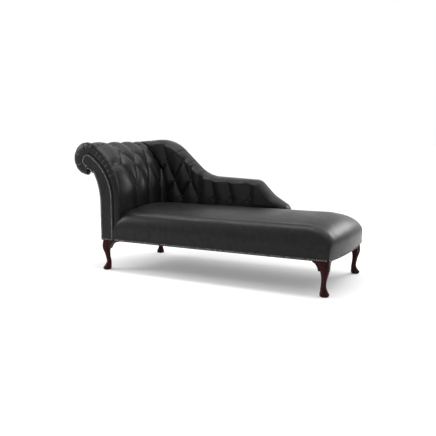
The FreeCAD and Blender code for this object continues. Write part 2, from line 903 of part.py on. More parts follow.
def zigzag_spring(x):
    """One wire that runs from side to side and steps back at each turn."""
    bend = size("spring_bend")
    half = size("spring_width") / 2 - bend
    z = place("spring_z")
    first, last = spring_span()
    count = int((last - first) / (2 * bend))
    start_y = (first + last) / 2 - bend * count
    quarter = bend * math.sin(math.radians(45))
    edges = []
    for number in range(count + 1):
        side = 1 if number % 2 == 0 else -1
        y = start_y + 2 * bend * number
        edges.append(Part.LineSegment(Vector(x - side * half, y, z),
                                      Vector(x + side * half, y, z)).toShape())
        if number == count:
            break
        tip = Vector(x + side * (half + bend), y + bend, z)
        near = Vector(x + side * (half + quarter), y + bend - quarter, z)
        far = Vector(x + side * (half + quarter), y + bend + quarter, z)
        edges.append(Part.Arc(Vector(x + side * half, y, z), near, tip).toShape())
        edges.append(Part.Arc(tip, far, Vector(x + side * half, y + 2 * bend, z)).toShape())
    path = Part.Wire(edges)
    ring = Part.Wire([Part.makeCircle(size("spring_wire") / 2, Vector(x - half, start_y, z),
                                      Vector(1, 0, 0))])
    return path.makePipeShell([ring], True, False).Solids[0]


def spring_clip(x, y, way):
    """A folded steel clip that holds an end run of wire on the rail."""
    thick, long, wide = size("clip_thick"), size("clip_length"), size("clip_width")
    low, high = place("rail_top"), place("clip_top")
    side = size("spring_wire") / 2 + thick
    plate = box_between((x - wide / 2, min(y - way * side, y + way * (long / 2)), low),
                        (x + wide / 2, max(y - way * side, y + way * (long / 2)), low + thick))
    wall = box_between((x - wide / 2, min(y - way * side, y - way * (side - thick)), low),
                       (x + wide / 2, max(y - way * side, y - way * (side - thick)), high))
    lip = box_between((x - wide / 2, min(y - way * side, y + way * side), high - thick),
                      (x + wide / 2, max(y - way * side, y + way * side), high))
    return one_solid(plate.fuse([wall, lip]))


def make_springs():
    rows = spring_rows()
    first_spring = zigzag_spring(rows[0])
    springs = []
    for x in rows:
        spring = first_spring.copy()
        spring.translate(Vector(x - rows[0], 0, 0))
        springs.append(spring)
    box = first_spring.BoundBox
    wire = size("spring_wire")
    clips = []
    for x in rows:
        clips.append(spring_clip(x, box.YMin + wire / 2, 1))
        clips.append(spring_clip(x, box.YMax - wire / 2, -1))
    formed("seat_springs", group(springs))
    formed("spring_clips", group(clips))
    radius = size("tie_wire") / 2
    length = rows[-1] - rows[0] + size("spring_width")
    start_x = rows[0] - size("spring_width") / 2
    z = place("spring_z") + wire / 2 + radius
    ties = [Part.makeCylinder(radius, length,
                              Vector(start_x, box.YMin + box.YLength * share, z), Vector(1, 0, 0))
            for share in (1 / 3, 2 / 3)]
    formed("spring_tie_wires", group(ties))


def make_deck():
    plain_box("seat_hessian",
              ("places.board_edge + sizes.soft_gap", "places.frame_front / 2",
               "places.clip_top"),
              ("places.foot_rail_end - sizes.rail_thick / 2 - places.board_edge",
               "places.foam_back - places.frame_front / 2 - sizes.soft_gap",
               "sizes.hessian"))


def arm_layer(grow_low, grow_high, front, back):
    """A sheet laid over the inner edge of the scroll boards."""
    start_z = place("deck_top") + size("soft_gap")
    outline = facing_inner(0, start_z, 200)
    return sheet_along(outline, grow_high, grow_low, front, back)


def make_arm_webs():
    """Webbing strips from board to board, and hessian over them."""
    edge, webbing = 1, size("webbing")
    inner = facing_inner(edge, place("deck_top") + size("soft_gap"), 200)
    count = int(inner.length / (1.5 * size("web_width")))
    pitch = inner.length / count
    strips = []
    for number in range(count):
        low = pitch * number + (pitch - size("web_width")) / 2
        strip = web_strip(inner, low, low + size("web_width")).cut(rear_board_shape())
        strips.append(twine_holes(strip))
    formed("arm_webbing", group(strips))
    layer = arm_layer(edge + webbing, edge + webbing + size("hessian"),
                      place("board_front"), place("foam_back"))
    formed("arm_hessian", twine_holes(layer))


def web_strip(outline, low, high):
    """The part of a bent sheet between two lengths along its outline."""
    stretches = []
    passed = 0
    for stretch in outline.stretches:
        first, last = max(low - passed, 0), min(high - passed, stretch.length)
        passed += stretch.length
        if last - first < 1:
            continue
        if isinstance(stretch, Straight):
            stretches.append(Straight(stretch.at(first)[0], stretch.at(last)[0]))
        else:
            step = (stretch.last - stretch.first) / stretch.length
            stretches.append(Bend(stretch.centre, stretch.radius,
                                  stretch.first + step * first, stretch.first + step * last))
    return sheet_along(Outline(stretches), size("webbing"), 0, place("board_front"),
                       size("seat_depth") - size("leather"))


def make_back_webs():
    """Level webbing strips across the back frame, and hessian over them."""
    front = place("frame_back") - size("webbing")
    inset = size("back_rail_inset") + size("back_rail_width") / 2
    line = rounded(back_corners, back_radii, inset)
    z = place("deck_top") + size("web_pitch") / 2
    strips = []
    while z + size("web_width") < line.end()[1]:
        high = z + size("web_width")
        along = line.length_where(lambda point: point[1] > high)
        right = line.at(along)[0][0]
        strips.append(box_between((place("board_edge") + size("webbing") + size("hessian"),
                                   front, z), (right, place("frame_back"), high)))
        z += size("web_pitch")
    formed("back_webbing", group(strips))
    sheet = back_region(size("back_rail_inset") + size("leather"), place("rail_top"),
                        place("foam_back"), front)
    sheet = sheet.cut(arm_full_prism(size("soft_gap")))
    sheet = max(sheet.Solids, key=lambda solid: solid.Volume)
    formed("back_hessian", twine_holes(one_solid(sheet)))


# Buttons, their twine and the pads between them

def dome(radius, drum, rise):
    """A round low dome on a drum, standing on the origin."""
    ball = (radius ** 2 + rise ** 2) / (2 * rise)
    half_turn = math.asin(radius / ball) / 2
    side = Vector(ball * math.sin(half_turn), 0, drum + rise - ball * (1 - math.cos(half_turn)))
    foot, rim, top = Vector(radius, 0, 0), Vector(radius, 0, drum), Vector(0, 0, drum + rise)
    edges = [Part.LineSegment(Vector(0, 0, 0), foot).toShape()]
    if drum:
        edges.append(Part.LineSegment(foot, rim).toShape())
    edges.append(Part.Arc(rim, side, top).toShape())
    edges.append(Part.LineSegment(top, Vector(0, 0, 0)).toShape())
    turned = Part.Face(Part.Wire(edges)).revolve(Vector(0, 0, 0), Vector(0, 0, 1), 360)
    return Part.makeSolid(turned.Shells[0])


def standing(shape, point, outward):
    """A copy of a shape drawn upright, moved to a point and turned outward."""
    copy = shape.copy()
    copy.Placement = FreeCAD.Placement(point, FreeCAD.Rotation(Vector(0, 0, 1), outward))
    return copy


def buttons_at(spots):
    """Covered buttons, each sunk a little into the leather."""
    drum = size("button_thick") / 3
    button = dome(size("button_dia") / 2, drum, size("button_thick") - drum)
    sunk = size("button_sink") - size("soft_gap")
    return group([standing(button, centre - outward * sunk, outward)
                  for centre, outward in spots])


def arm_rows():
    """Heights along the arm's valley line of its three rows of buttons."""
    straight = arm_straight - place("deck_top")
    radius = arm_sweep - size("tuft")
    return [straight + radius * math.radians(size(name))
            for name in ("arm_low_angle", "arm_mid_angle", "arm_top_angle")]


def arm_button_places():
    line = arm_outline(size("tuft"), place("deck_top"))
    low, middle, top = arm_rows()
    first, pitch = size("arm_first_button"), size("arm_pitch")
    spots = []
    for along, start in ((low, first + pitch / 2), (middle, first), (top, first + pitch / 2)):
        y = start
        while y < size("back_face") - size("tuft"):
            point, outward = line.at(along)
            spots.append((spot(point, y), Vector(outward[0], 0, outward[1])))
            y += pitch
    return spots


def back_row(first, pitch, until):
    places_x = []
    x = first
    while x < until:
        places_x.append(x)
        x += pitch
    return places_x


def back_rows():
    """The rows of buttons in the back: height, and places along the seat."""
    return [
        (bottom + size("back_low_rise"),
         back_row(size("back_low_first"), size("back_low_pitch"), size("shoulder_x"))),
        (bottom + size("back_mid_rise"),
         back_row(size("back_mid_first"), size("back_mid_pitch"),
                  size("dip_x") - size("back_mid_clear"))),
        (bottom + size("back_top_rise"),
         back_row(size("back_top_first"), size("back_top_pitch"),
                  size("dip_x") - size("back_top_clear"))),
    ]


def back_button_places():
    face = size("back_face")
    clear = arm_full_prism(size("button_dia"))
    spots = []
    for z, row in back_rows():
        for x in row:
            place_of = Vector(x, face, z)
            if not clear.isInside(place_of, 0.1, True):
                spots.append((place_of, Vector(0, -1, 0)))
    return spots


def twine_hole(centre, outward, depth):
    """The hole that a button's twine needs on its way to the knot."""
    far = depth + size("knot_dia") / 2
    radius = size("twine_dia") / 2 + size("soft_gap")
    return Part.makeCylinder(radius, far, centre - outward * far, outward)


def tied_twine(centre, outward, depth):
    """A button's twine, from under the button to its knot behind the hessian."""
    knot, thin = size("knot_dia") / 2, size("twine_dia") / 2
    far = depth + knot
    near = far - size("button_sink")
    points = [(0, 0), (knot, 0), (knot, knot), (thin, knot), (thin, near), (0, near), (0, 0)]
    profile = Part.Face(Part.makePolygon([Vector(x, 0, z) for x, z in points]))
    turned = profile.revolve(Vector(0, 0, 0), Vector(0, 0, 1), 360)
    solid = Part.makeSolid(turned.Shells[0])
    return standing(solid, centre - outward * far, outward)


arm_buttons = arm_button_places()
back_buttons = back_button_places()
back_twine_depth = place("frame_back") - size("back_face")


def arm_twine_length(centre):
    """How far a twine runs from its button to behind the arm's hessian."""
    inner = facing_inner(1, bottom, 200)
    apart = min(math.dist((centre.x, centre.z), inner.at(inner.length * step / 400)[0])
                for step in range(401))
    return apart - size("soft_gap")


hole_pieces = [twine_hole(c, n, arm_twine_length(c)) for c, n in arm_buttons]
hole_pieces += [twine_hole(c, n, back_twine_depth - size("webbing")) for c, n in back_buttons]


def twine_holes(shape):
    near = [hole for hole in hole_pieces if hole.BoundBox.intersect(shape.BoundBox)]
    return one_solid(shape.cut(near)) if near else shape


def button_wells(shape, buttons):
    """Recesses that keep the stuffing clear of each button."""
    radius = size("button_dia") / 2 + size("soft_gap")
    sunk = size("button_sink")
    wells = [Part.makeCylinder(radius, size("tuft") + sunk, centre - outward * sunk, outward)
             for centre, outward in buttons]
    return shape.cut(wells)


def dome_section(base, outward, across, left, right, height):
    """A flat back line with a round front, for one place along a pad."""
    sunk = size("pleat_gap")
    start = base + across * left - outward * sunk
    end = base + across * right - outward * sunk
    crest = base + across * ((left + right) / 2) + outward * height
    return Part.Wire([Part.LineSegment(start, end).toShape(),
                      Part.Arc(end, crest, start).toShape()])


def between(low, high, share):
    return low + (high - low) * share


def border_at(border, along):
    """Where a pleat lies at a length, between the points it runs through."""
    for (low, near), (high, far) in zip(border, border[1:]):
        if along <= high:
            return between(near, far, max(along - low, 0) / (high - low))
    return border[-1][1]


def pad_between(frame, across, left, right, closed_low, closed_high):
    """A stuffed pad between two pleats, thinner where it runs into an edge."""
    low, high = left[0][0], left[-1][0]
    count = math.ceil((high - low) / size("pad_step"))
    rows = {between(low, high, number / count) for number in range(count + 1)}
    rows |= {along for along, _ in left + right}
    widest = size("arm_pitch") / 2
    gap, taper = size("pleat_gap"), size("pad_taper")
    wires = []
    for along in sorted(rows):
        start, end = border_at(left, along) + gap, border_at(right, along) - gap
        half = (end - start) / 2
        if half < 3 * gap:
            continue
        full = min(half / widest, 1) ** 0.8
        if closed_low:
            full *= between(0.3, 1, min((along - low) / taper, 1) ** 0.5)
        if closed_high:
            full *= between(0.3, 1, min((high - along) / taper, 1) ** 0.5)
        base, outward = frame(along)
        height = size("tuft") * full
        wires.append(dome_section(base, outward, across, start, end, height))
    return Part.makeLoft(wires, True, True)


# The buttoned inside of the arm

arm_line = arm_outline(size("tuft"), place("deck_top"))


def arm_frame_at(along):
    point, outward = arm_line.at(along)
    return spot(point, 0), Vector(outward[0], 0, outward[1])


def arm_pads():
    low, middle, top = arm_rows()
    pitch = size("arm_pitch")
    first, last = size("arm_first_button"), place("foam_back")
    front = place("board_front") + size("band_depth")
    end = arm_line.length - size("tuft")
    across = Vector(0, 1, 0)
    pads = []

    def add(left, right, closed_low=False, closed_high=False):
        pads.append(pad_between(arm_frame_at, across, left, right, closed_low, closed_high))

    def floor(y):
        return seat_top(size("arm_front") - size("tuft") / 2, y) - place("deck_top")

    # Diamonds between the lower and the upper row
    y = first + pitch / 2
    while y < last - pitch / 2:
        add([(low, y), (middle, y - pitch / 2), (top, y)],
            [(low, y), (middle, y + pitch / 2), (top, y)])
        y += pitch
    # Flutes over the roll and down to the seat from every button of the middle row
    y = first + pitch
    while y < last:
        left, right = y - pitch / 2, min(y + pitch / 2, last)
        add([(middle, y), (top, left), (end, left)],
            [(middle, y), (top, right), (end, right)], closed_high=True)
        add([(floor(y), left), (low, left), (middle, y)],
            [(floor(y), right), (low, right), (middle, y)])
        y += pitch
    # The two pads at the front, above and below the side pleat
    right = first + pitch / 2
    add([(middle, front), (end, front)], [(middle, first), (top, right), (end, right)],
        closed_low=True, closed_high=True)
    ground = floor(right)
    add([(ground, front), (middle, front)], [(ground, right), (low, right), (middle, first)],
        closed_high=True)
    return pads


def make_inside_arm():
    front = place("board_front") + size("band_depth")
    slab = sheet_along(arm_line, 0, -size("pad_back"), front, place("foam_back"))
    cover = one_solid(slab.fuse(arm_pads()))
    cover = button_wells(cover, arm_buttons)
    formed("inside_arm_cover", twine_holes(one_solid(cover)))
    under_roll = arm_outline(0, bottom).end()
    foam = closed_by(arm_line.beside(-size("pad_back") - size("soft_gap")),
                     [under_roll, (0, outer_straight),
                      (0, place("deck_top") + size("soft_gap"))],
                     front, place("foam_back"))
    edge = 1 + size("webbing") + size("hessian")
    core = facing_prism(edge + size("soft_gap"), 0, front, place("foam_back"))
    foam = max(foam.cut(core).Solids, key=lambda solid: solid.Volume)
    formed("arm_foam", twine_holes(foam))
    formed("arm_buttons", buttons_at(arm_buttons))
    formed("arm_button_twines", group([tied_twine(c, n, arm_twine_length(c))
                                       for c, n in arm_buttons]))


# The pleated front edge of the arm

def arm_reach(point, outward):
    """How far the arm's fullest line lies from a point of the facing."""
    straight = (size("arm_front") - point[0]) / outward[0] if outward[0] > 0.9 else None
    if straight is not None and point[1] <= arm_straight:
        return straight
    centre, radius = arm_centre, arm_sweep
    for _ in range(2):
        away = (point[0] - centre[0], point[1] - centre[1])
        along = away[0] * outward[0] + away[1] * outward[1]
        reach = -along + math.sqrt(along ** 2 - away[0] ** 2 - away[1] ** 2 + radius ** 2)
        hit = (point[0] + outward[0] * reach, point[1] + outward[1] * reach)
        if heading_angle(arm_centre, hit) <= arm_lean and hit[0] > roll[0]:
            return reach
        centre, radius = roll, size("roll_radius")
    return reach


def band_section(line, along, drawn_in):
    """The band's section, from the facing's edge out to the fullest line."""
    point, outward = line.at(along)
    reach = arm_reach(point, outward) - drawn_in
    face = size("piping_dia") + size("soft_gap")
    back = place("board_front") + size("band_depth")

    def at(away, y):
        return Vector(point[0] + outward[0] * away, y, point[1] + outward[1] * away)

    deep = 1 + size("webbing") + size("hessian") + 4 * size("soft_gap")
    turn = reach * 0.5
    corners = [at(deep, face), at(turn, face + drawn_in)]
    crest = at(reach, face + size("band_depth") * 0.55)
    shoulder = at(turn + (reach - turn) * 0.74, face + size("band_depth") * 0.12)
    dip = at(reach - size("tuft") * 0.4, back)
    edges = [Part.LineSegment(a, b).toShape() for a, b in zip(corners, corners[1:])]
    edges.append(Part.Arc(corners[-1], shoulder, crest).toShape())
    edges.append(Part.LineSegment(crest, dip).toShape())
    edges.append(Part.LineSegment(dip, at(deep, back)).toShape())
    edges.append(Part.LineSegment(at(deep, back), corners[0]).toShape())
    return Part.Wire(edges)


def make_scroll_band():
    """Leather drawn over the arm's front edge, pleated round the scroll."""
    line = facing_inner(0, place("deck_top") + size("soft_gap"), size("band_end_angle"))
    straight = line.stretches[0].length
    pleated = straight + line.stretches[1].length * 0.4
    plain = math.ceil((pleated - straight) / size("pad_step"))
    stations = [(0, 0)]
    stations += [(between(straight, pleated, number / plain), 0) for number in range(plain)]
    folds = int(size("band_pleats")) * 2
    for number in range(folds + 1):
        along = between(pleated, line.length, number / folds)
        stations.append((along, size("band_pleat") if number % 2 else 0))
    wires = [band_section(line, along, drawn_in) for along, drawn_in in stations]
    band = Part.makeLoft(wires, True, True).cut(seat_form(-size("soft_gap"), bottom))
    band = band.cut(box_between((0, 0, 0), (size("seat_length"), size("seat_depth"),
                                            seat_top(place("board_edge"), 0))))
    formed("pleated_scroll_band", max(band.Solids, key=lambda solid: solid.Volume))


def make_facing():
    """Ply panel, leather over it, and a piping round its inner edge."""
    formed("facing_panel", facing_prism(0, 0, size("facing_leather"), place("board_front")))
    formed("facing_leather", facing_prism(0, 0, 0, size("facing_leather")))
    radius = size("piping_dia") / 2
    start_z = seat_top(size("facing_width"), size("piping_dia")) + size("piping_dia")
    line = facing_inner(radius, start_z, size("band_end_angle"))
    start, outward = line.at(0)
    path = Part.Wire(line.edges(radius))
    ring = Part.Wire([Part.makeCircle(radius, spot(start, radius), Vector(0, 0, 1))])
    formed("facing_piping", path.makePipeShell([ring], True, False).Solids[0])


# The buttoned inside of the back

def back_frame_at(z):
    return Vector(0, size("back_face"), z), Vector(0, -1, 0)


def edge_pleats():
    """Where the pleat of each button reaches the rolled edge."""
    (low, low_row), (middle, middle_row), (top, top_row) = back_rows()
    lean = size("back_pad_lean")
    pleats = {x: x - lean for x in top_row + low_row[3:]}
    pleats[top_row[0] - size("back_top_pitch")] = top_row[0] - size("back_top_pitch") - lean
    pleats[middle_row[-1]] = middle_row[-1]
    pleats[low_row[2]] = low_row[2] + lean
    return pleats


def top_of_pads(*ends):
    """The highest place where a pad of the back meets the rolled edge."""
    line = rounded(back_corners, back_radii, size("back_roll") + size("pleat_gap"))
    return max(line.at(line.length_where(lambda point: point[0] < x))[0][1] for x in ends)


def back_pads():
    (low, low_row), (middle, middle_row), (top, top_row) = back_rows()
    pleats = edge_pleats()
    pads = []

    def add(left, right, closed_high=False):
        pads.append(pad_between(back_frame_at, Vector(1, 0, 0), left, right, False,
                                closed_high))

    def floor(x):
        return seat_top(x, size("back_face") - size("tuft"))

    # Whole diamonds under the top row
    for under, left, right, over in zip(low_row, middle_row, middle_row[1:], top_row):
        add([(low, under), (middle, left), (top, over)],
            [(low, under), (middle, right), (top, over)])
    # Flutes from the middle row up to the rolled edge
    head_side = [top_row[0] - size("back_top_pitch")] + top_row
    for x, left, right in zip(middle_row, head_side, top_row):
        ends = pleats[left], pleats[right]
        high = top_of_pads(*ends)
        add([(middle, x), (top, left), (high, ends[0])],
            [(middle, x), (top, right), (high, ends[1])], closed_high=True)
    # Two flutes where the back starts to fall
    last_top, last_middle = top_row[-1], middle_row[-1]
    ends = pleats[last_top], pleats[last_middle]
    high = top_of_pads(*ends)
    add([(middle, last_middle), (top, last_top), (high, ends[0])],
        [(middle, last_middle), (high, ends[1])])
    x = low_row[2]
    high = top_of_pads(pleats[last_middle], pleats[x])
    add([(low, x), (middle, last_middle), (high, pleats[last_middle])],
        [(low, x), (high, pleats[x])])
    # Flutes from the middle row down to the seat
    for x, left, right in zip(middle_row[1:], low_row, low_row[1:]):
        add([(floor(x), left), (low, left), (middle, x)],
            [(floor(x), right), (low, right), (middle, x)])
    # Long channels from the seat to the rolled edge
    for left, right in zip(low_row[2:], low_row[3:]):
        high = top_of_pads(pleats[left], pleats[right])
        add([(floor(left), left), (low, left), (high, pleats[left])],
            [(floor(left), right), (low, right), (high, pleats[right])], closed_high=True)
    return pads


def make_inside_back():
    face = size("back_face")
    start_z = place("deck_top") + size("soft_gap")
    inset = size("back_roll") + 2 * size("soft_gap")
    slab = back_region(inset, place("rail_top"), face, face + size("pad_back"))
    under_seat = box_between((0, face - size("leather"), 0),
                             (2 * size("tail_x"), size("seat_depth"), start_z))
    arm = arm_full_prism(size("soft_gap"))
    slab = slab.cut([under_seat, arm])
    slab = max(slab.Solids, key=lambda solid: solid.Volume)
    under_edge = back_region(size("back_roll") + size("pleat_gap"), place("deck_top"),
                             face - size("tuft") * 2, face + size("pad_back"))
    pads = [pad.common(under_edge) for pad in back_pads()]
    cover = slab.fuse(pads).cut(arm)
    cover = max(cover.Solids, key=lambda solid: solid.Volume)
    cover = button_wells(cover, back_buttons)
    formed("inside_back_cover", twine_holes(one_solid(cover)))
    foam = back_region(inset, place("rail_top"), place("foam_front"), place("foam_back"))
    foam = foam.cut([under_seat, arm])
    foam = max(foam.Solids, key=lambda solid: solid.Volume)
    formed("back_foam", twine_holes(foam))
    formed("back_buttons", buttons_at(back_buttons))
    depth = back_twine_depth - size("webbing")
    behind = [shape_of(label) for label in ("back_serpentine_rail", "back_post_1",
                                            "back_post_2", "back_post_3", "back_webbing")]
    tied = [tied_twine(c, n, depth).cut(behind) for c, n in back_buttons]
    tied = [max(piece.Solids, key=lambda solid: solid.Volume) for piece in tied]
    formed("back_button_twines", group([one_solid(piece) for piece in tied]))


def roll_section(along, drawn_in):
    """The rolled top edge: over the rail at the back, round to the front."""
    point, outward = back_outline.at(along)
    drop, gap = size("back_roll"), size("soft_gap")
    face, end = size("back_face"), size("seat_depth") - size("leather")
    hook = size("back_rail_inset") - size("leather")
    behind = place("foam_back") - gap

    def at(away, y):
        return Vector(point[0] - outward[0] * away, y, point[1] - outward[1] * away)

    flat = between(end, face, size("back_roll_flat"))
    low = at(drop - gap, face)
    corners = [low, at(drop - gap, behind), at(hook, behind), at(hook, end),
               at(drawn_in, end), at(drawn_in, flat)]
    edges = [Part.LineSegment(a, b).toShape() for a, b in zip(corners, corners[1:])]
    deep, wide = drop - gap - drawn_in, flat - face
    radius = (deep ** 2 + wide ** 2) / (2 * deep)
    half_turn = math.asin(wide / radius) / 2
    middle = at(drawn_in + radius * (1 - math.cos(half_turn)),
                flat - radius * math.sin(half_turn))
    edges.append(Part.Arc(corners[-1], middle, low).toShape())
    return Part.Wire(edges)


def make_back_roll():
    """The stuffed top edge of the back, drawn in at each pleat."""
    start = back_outline.stretches[0].length * 0.75
    finish = back_outline.length_where(lambda point: point[0] < roll[0] + size("tuft"))
    count = math.ceil((finish - start) / size("pad_step"))
    stations = {between(start, finish, number / count): 0 for number in range(count + 1)}
    half = size("pad_step") / 4
    for x in sorted(edge_pleats().values()):
        along = back_outline.length_where(lambda point: point[0] < x)
        if start + half < along < finish - half:
            stations = {key: value for key, value in stations.items()
                        if abs(key - along) > half}
            stations[along] = size("back_roll_pleat")
            stations[along - half] = 0
            stations[along + half] = 0
    wires = [roll_section(along, drawn_in) for along, drawn_in in sorted(stations.items())]
    edge = Part.makeLoft(wires, True, True).cut(arm_full_prism(size("soft_gap")))
    edge = button_wells(edge, back_buttons)
    edge = max(edge.Solids, key=lambda solid: solid.Volume)
    formed("back_rolled_edge", edge)


# Outer leather

def make_outer_leather():
    leather = size("leather")
    depth = size("seat_depth")
    side = sheet_along(facing_outer(0), 0, -leather, place("board_front"), depth - leather)
    side = max(side.cut(rear_board_shape()).Solids, key=lambda solid: solid.Volume)
    formed("outside_arm_cover", side)
    edge = Outline([Bend(roll, size("roll_radius"), 95, size("roll_end_angle"))])
    formed("rear_scroll_edge", sheet_along(edge, 0, -leather, place("foam_back"),
                                           depth - leather))
    scroll = Outline([Bend(roll, size("roll_radius"), 90, size("roll_end_angle") + 5)])
    outer = Outline(facing_outer(0).stretches[1:])
    line = Outline(back_outline.stretches + scroll.stretches)
    edges = line.edges(depth - leather) + outer.edges(depth - leather)
    edges.append(join(line.end(), outer.start(), depth - leather))
    corner = (size("tail_x"), bottom)
    edges.append(join(outer.end(), corner, depth - leather))
    edges.append(join(corner, line.start(), depth - leather))
    formed("outside_back_cover", prism(edges, depth - leather, depth))


# The seat: foam, leather and the sheet beneath

def make_seat():
    gap, leather = size("soft_gap"), size("leather")
    low = bottom - leather
    behind = box_between((0, size("back_face") - gap, 0),
                         (size("tail_x") + gap, 2 * size("seat_depth"), 2 * place("seat_edge")))
    band_end = place("board_front") + size("band_depth") - gap
    arm = box_between((0, band_end, place("deck_top")),
                      (size("arm_front") - size("tuft") + gap, size("seat_depth"),
                       2 * place("seat_edge")))
    layers = box_between((0, place("board_front") - gap, place("deck_top")),
                         (place("board_edge") + size("webbing") + size("hessian") + gap,
                          size("seat_depth"), 2 * place("seat_edge")))
    beds = box_between((0, 0, 0), (2 * size("seat_length"), size("seat_depth"),
                                   place("deck_top")))
    cover = seat_form(0, bottom).cut(seat_form(leather, low))
    foam = seat_form(leather + gap, bottom).cut(beds)
    for away in (behind, arm, layers):
        cover = cover.cut(away)
        foam = foam.cut(away)
    formed("seat_cover", max(cover.Solids, key=lambda solid: solid.Volume))
    foam = max(foam.Solids, key=lambda solid: solid.Volume)
    formed("seat_foam", foam)


# Legs and knee brackets

def leg_section(corner, way_x, way_y, z, inset, radius, square):
    """A round or squarish ring of four arcs about the leg's line."""
    x, y = corner[0] + way_x * inset, corner[1] + way_y * inset
    ring = []
    for number in range(8):
        turn = math.radians(45 * number)
        away = radius if number % 2 == 0 else radius * square
        ring.append(Vector(x + away * math.cos(turn), y + away * math.sin(turn), z))
    ring.append(ring[0])
    return Part.Wire([Part.Arc(*ring[start:start + 3]).toShape() for start in (0, 2, 4, 6)])


def leg_shape(corner_x, corner_y, way_x, way_y):
    """A cabriole leg: knee out, ankle in, pad foot out again."""
    height, inset = size("leg_height"), size("leg_inset")
    knee, ankle = size("knee_radius"), size("ankle_radius")
    foot, sole = size("foot_radius"), size("sole_radius")
    slim = (knee + 2 * ankle) / 3
    stations = [
        (0, inset, sole, 1),
        (0.03, inset + 0.3, foot - 1.5, 1),
        (0.065, inset + 0.8, foot, 1),
        (0.1, inset + 2.5, foot - 2, 1),
        (0.16, inset + 6, between(ankle, foot, 0.45), 1),
        (0.24, inset + 9, ankle + 1.5, 1),
        (0.33, inset + 8.5, ankle, 1),
        (0.48, inset + 4.5, ankle + 1.2, 1.02),
        (0.62, inset + 1, slim + 1, 1.05),
        (0.76, inset + 0.8, knee - 2, 1.08),
        (0.88, inset + 4, knee + 0.5, 1.12),
        (1, inset + 11, knee + 2, 1.16),
    ]
    corner = (corner_x, corner_y)
    wires = [leg_section(corner, way_x, way_y, height * share, place_in, radius, square)
             for share, place_in, radius, square in stations]
    return Part.makeLoft(wires, True, False)


def ear_outline(reach):
    """A knee bracket in side view, as distance from the corner and height."""
    inner = size("leg_inset") + size("ear_inset")
    top, drop, tip = bottom, size("ear_drop"), size("ear_tip")
    root = inner + size("knee_radius")
    return inner, root, reach, top, top - drop, top - tip


def ear(along_x, reach, corner_x, corner_y, way_x, way_y):
    inner, root, end, top, low, tip = ear_outline(reach)

    def at(away, z):
        side = size("ear_inset")
        if along_x:
            return Vector(corner_x + way_x * away, corner_y + way_y * side, z)
        return Vector(corner_x + way_x * side, corner_y + way_y * away, z)

    hollow = at(between(root, end, 0.36), between(low, tip, 0.68))
    edges = [
        Part.LineSegment(at(inner, top), at(end, top)).toShape(),
        Part.LineSegment(at(end, top), at(end, tip)).toShape(),
        Part.Arc(at(end, tip), hollow, at(root, low)).toShape(),
        Part.LineSegment(at(root, low), at(inner, low)).toShape(),
        Part.LineSegment(at(inner, low), at(inner, top)).toShape(),
    ]
    thick = size("ear_thick")
    across = Vector(0, way_y * thick, 0) if along_x else Vector(way_x * thick, 0, 0)
    return Part.Face(Part.Wire(edges)).extrude(across)


def make_legs():
    brackets = []
    legs = []
    for name, *corner in rail_ends():
        leg = leg_shape(*corner)
        legs.append(leg)
        formed(name + "_leg", let_in(leg))
        reach = size("head_ear") if name.endswith("head") else size("foot_ear")
        for along_x in (True, False):
            bracket = ear(along_x, reach, *corner).cut(leg)
            brackets.append(max(bracket.Solids, key=lambda solid: solid.Volume))
    formed("knee_brackets", group(brackets))
    leather, sheet = size("leather"), size("dust_sheet")
    cloth = box_between((leather, leather, bottom - sheet),
                        (place("foot_rail_end"), size("seat_depth") - leather, bottom))
    cloth = cloth.cut(legs + brackets + bolt_pieces)
    cloth = max(cloth.Solids, key=lambda solid: solid.Volume)
    formed("dust_cover", cloth)


# Stud nails

def spaced(length):
    count = max(int(length / size("stud_pitch")), 2)
    return [length * (number + 0.5) / count for number in range(count)]


def make_studs():
    edge = size("stud_edge")
    nail = dome(size("stud_dia") / 2, 0, size("stud_rise"))
    front_way, back_way, head_way = Vector(0, -1, 0), Vector(0, 1, 0), Vector(-1, 0, 0)
    nails = []
    inner = facing_inner(-edge, bottom + edge, size("band_end_angle"))
    for line in (inner, facing_outer(edge)):
        for along in spaced(line.length):
            nails.append(standing(nail, spot(line.at(along)[0], 0), front_way))
    for along in spaced(size("facing_width") - 2 * size("stud_dia")):
        nails.append(standing(nail, Vector(size("stud_dia") + along, 0, bottom + edge), front_way))
    formed("facing_studs", group(nails))

    z = bottom + edge
    depth = size("seat_depth")
    start = size("facing_width") + size("stud_dia")
    end = place("foot_rail_end") + size("leather") - edge
    nails = [standing(nail, Vector(start + along, 0, z), front_way)
             for along in spaced(end - start)]
    nails += [standing(nail, Vector(edge + along, depth, z), back_way)
              for along in spaced(end - edge)]
    side_start = place("board_front") + edge
    nails += [standing(nail, Vector(0, side_start + along, z), head_way)
              for along in spaced(depth - edge - side_start)]
    for along in spaced(depth - 2 * edge):
        y = edge + along
        slope = (foot_end_x(y + 1, 0) - foot_end_x(y - 1, 0)) / 2
        outward = Vector(1, -slope, 0).normalize()
        nails.append(standing(nail, Vector(foot_face_x(y, z), y, z), outward))
    formed("seat_rail_studs", group(nails))


def foot_face_x(y, z):
    """Where the swelling foot end stands at a height low on its face."""
    scale = (seat_height(y) - bottom) / (size("seat_rise") + size("seat_crown"))
    face_rise = (seat_height(y) - bottom) * foot_face(scale)
    share = min((z - bottom) / face_rise, 1)
    swell = size("foot_swell") * scale
    return foot_end_x(y, 0) + swell * (1 - (1 - share) ** 2) + 2 * size("soft_gap")


make_fixings()
make_seat_frame()
make_corner_blocks()
make_arm_frame()
make_back_frame()
make_springs()
make_deck()
make_arm_webs()
make_back_webs()
make_inside_arm()
make_scroll_band()
make_facing()
make_inside_back()
make_back_roll()
make_outer_leather()
make_seat()
make_legs()
make_studs()

doc.recompute()


# Every object has to be sound before anything is written

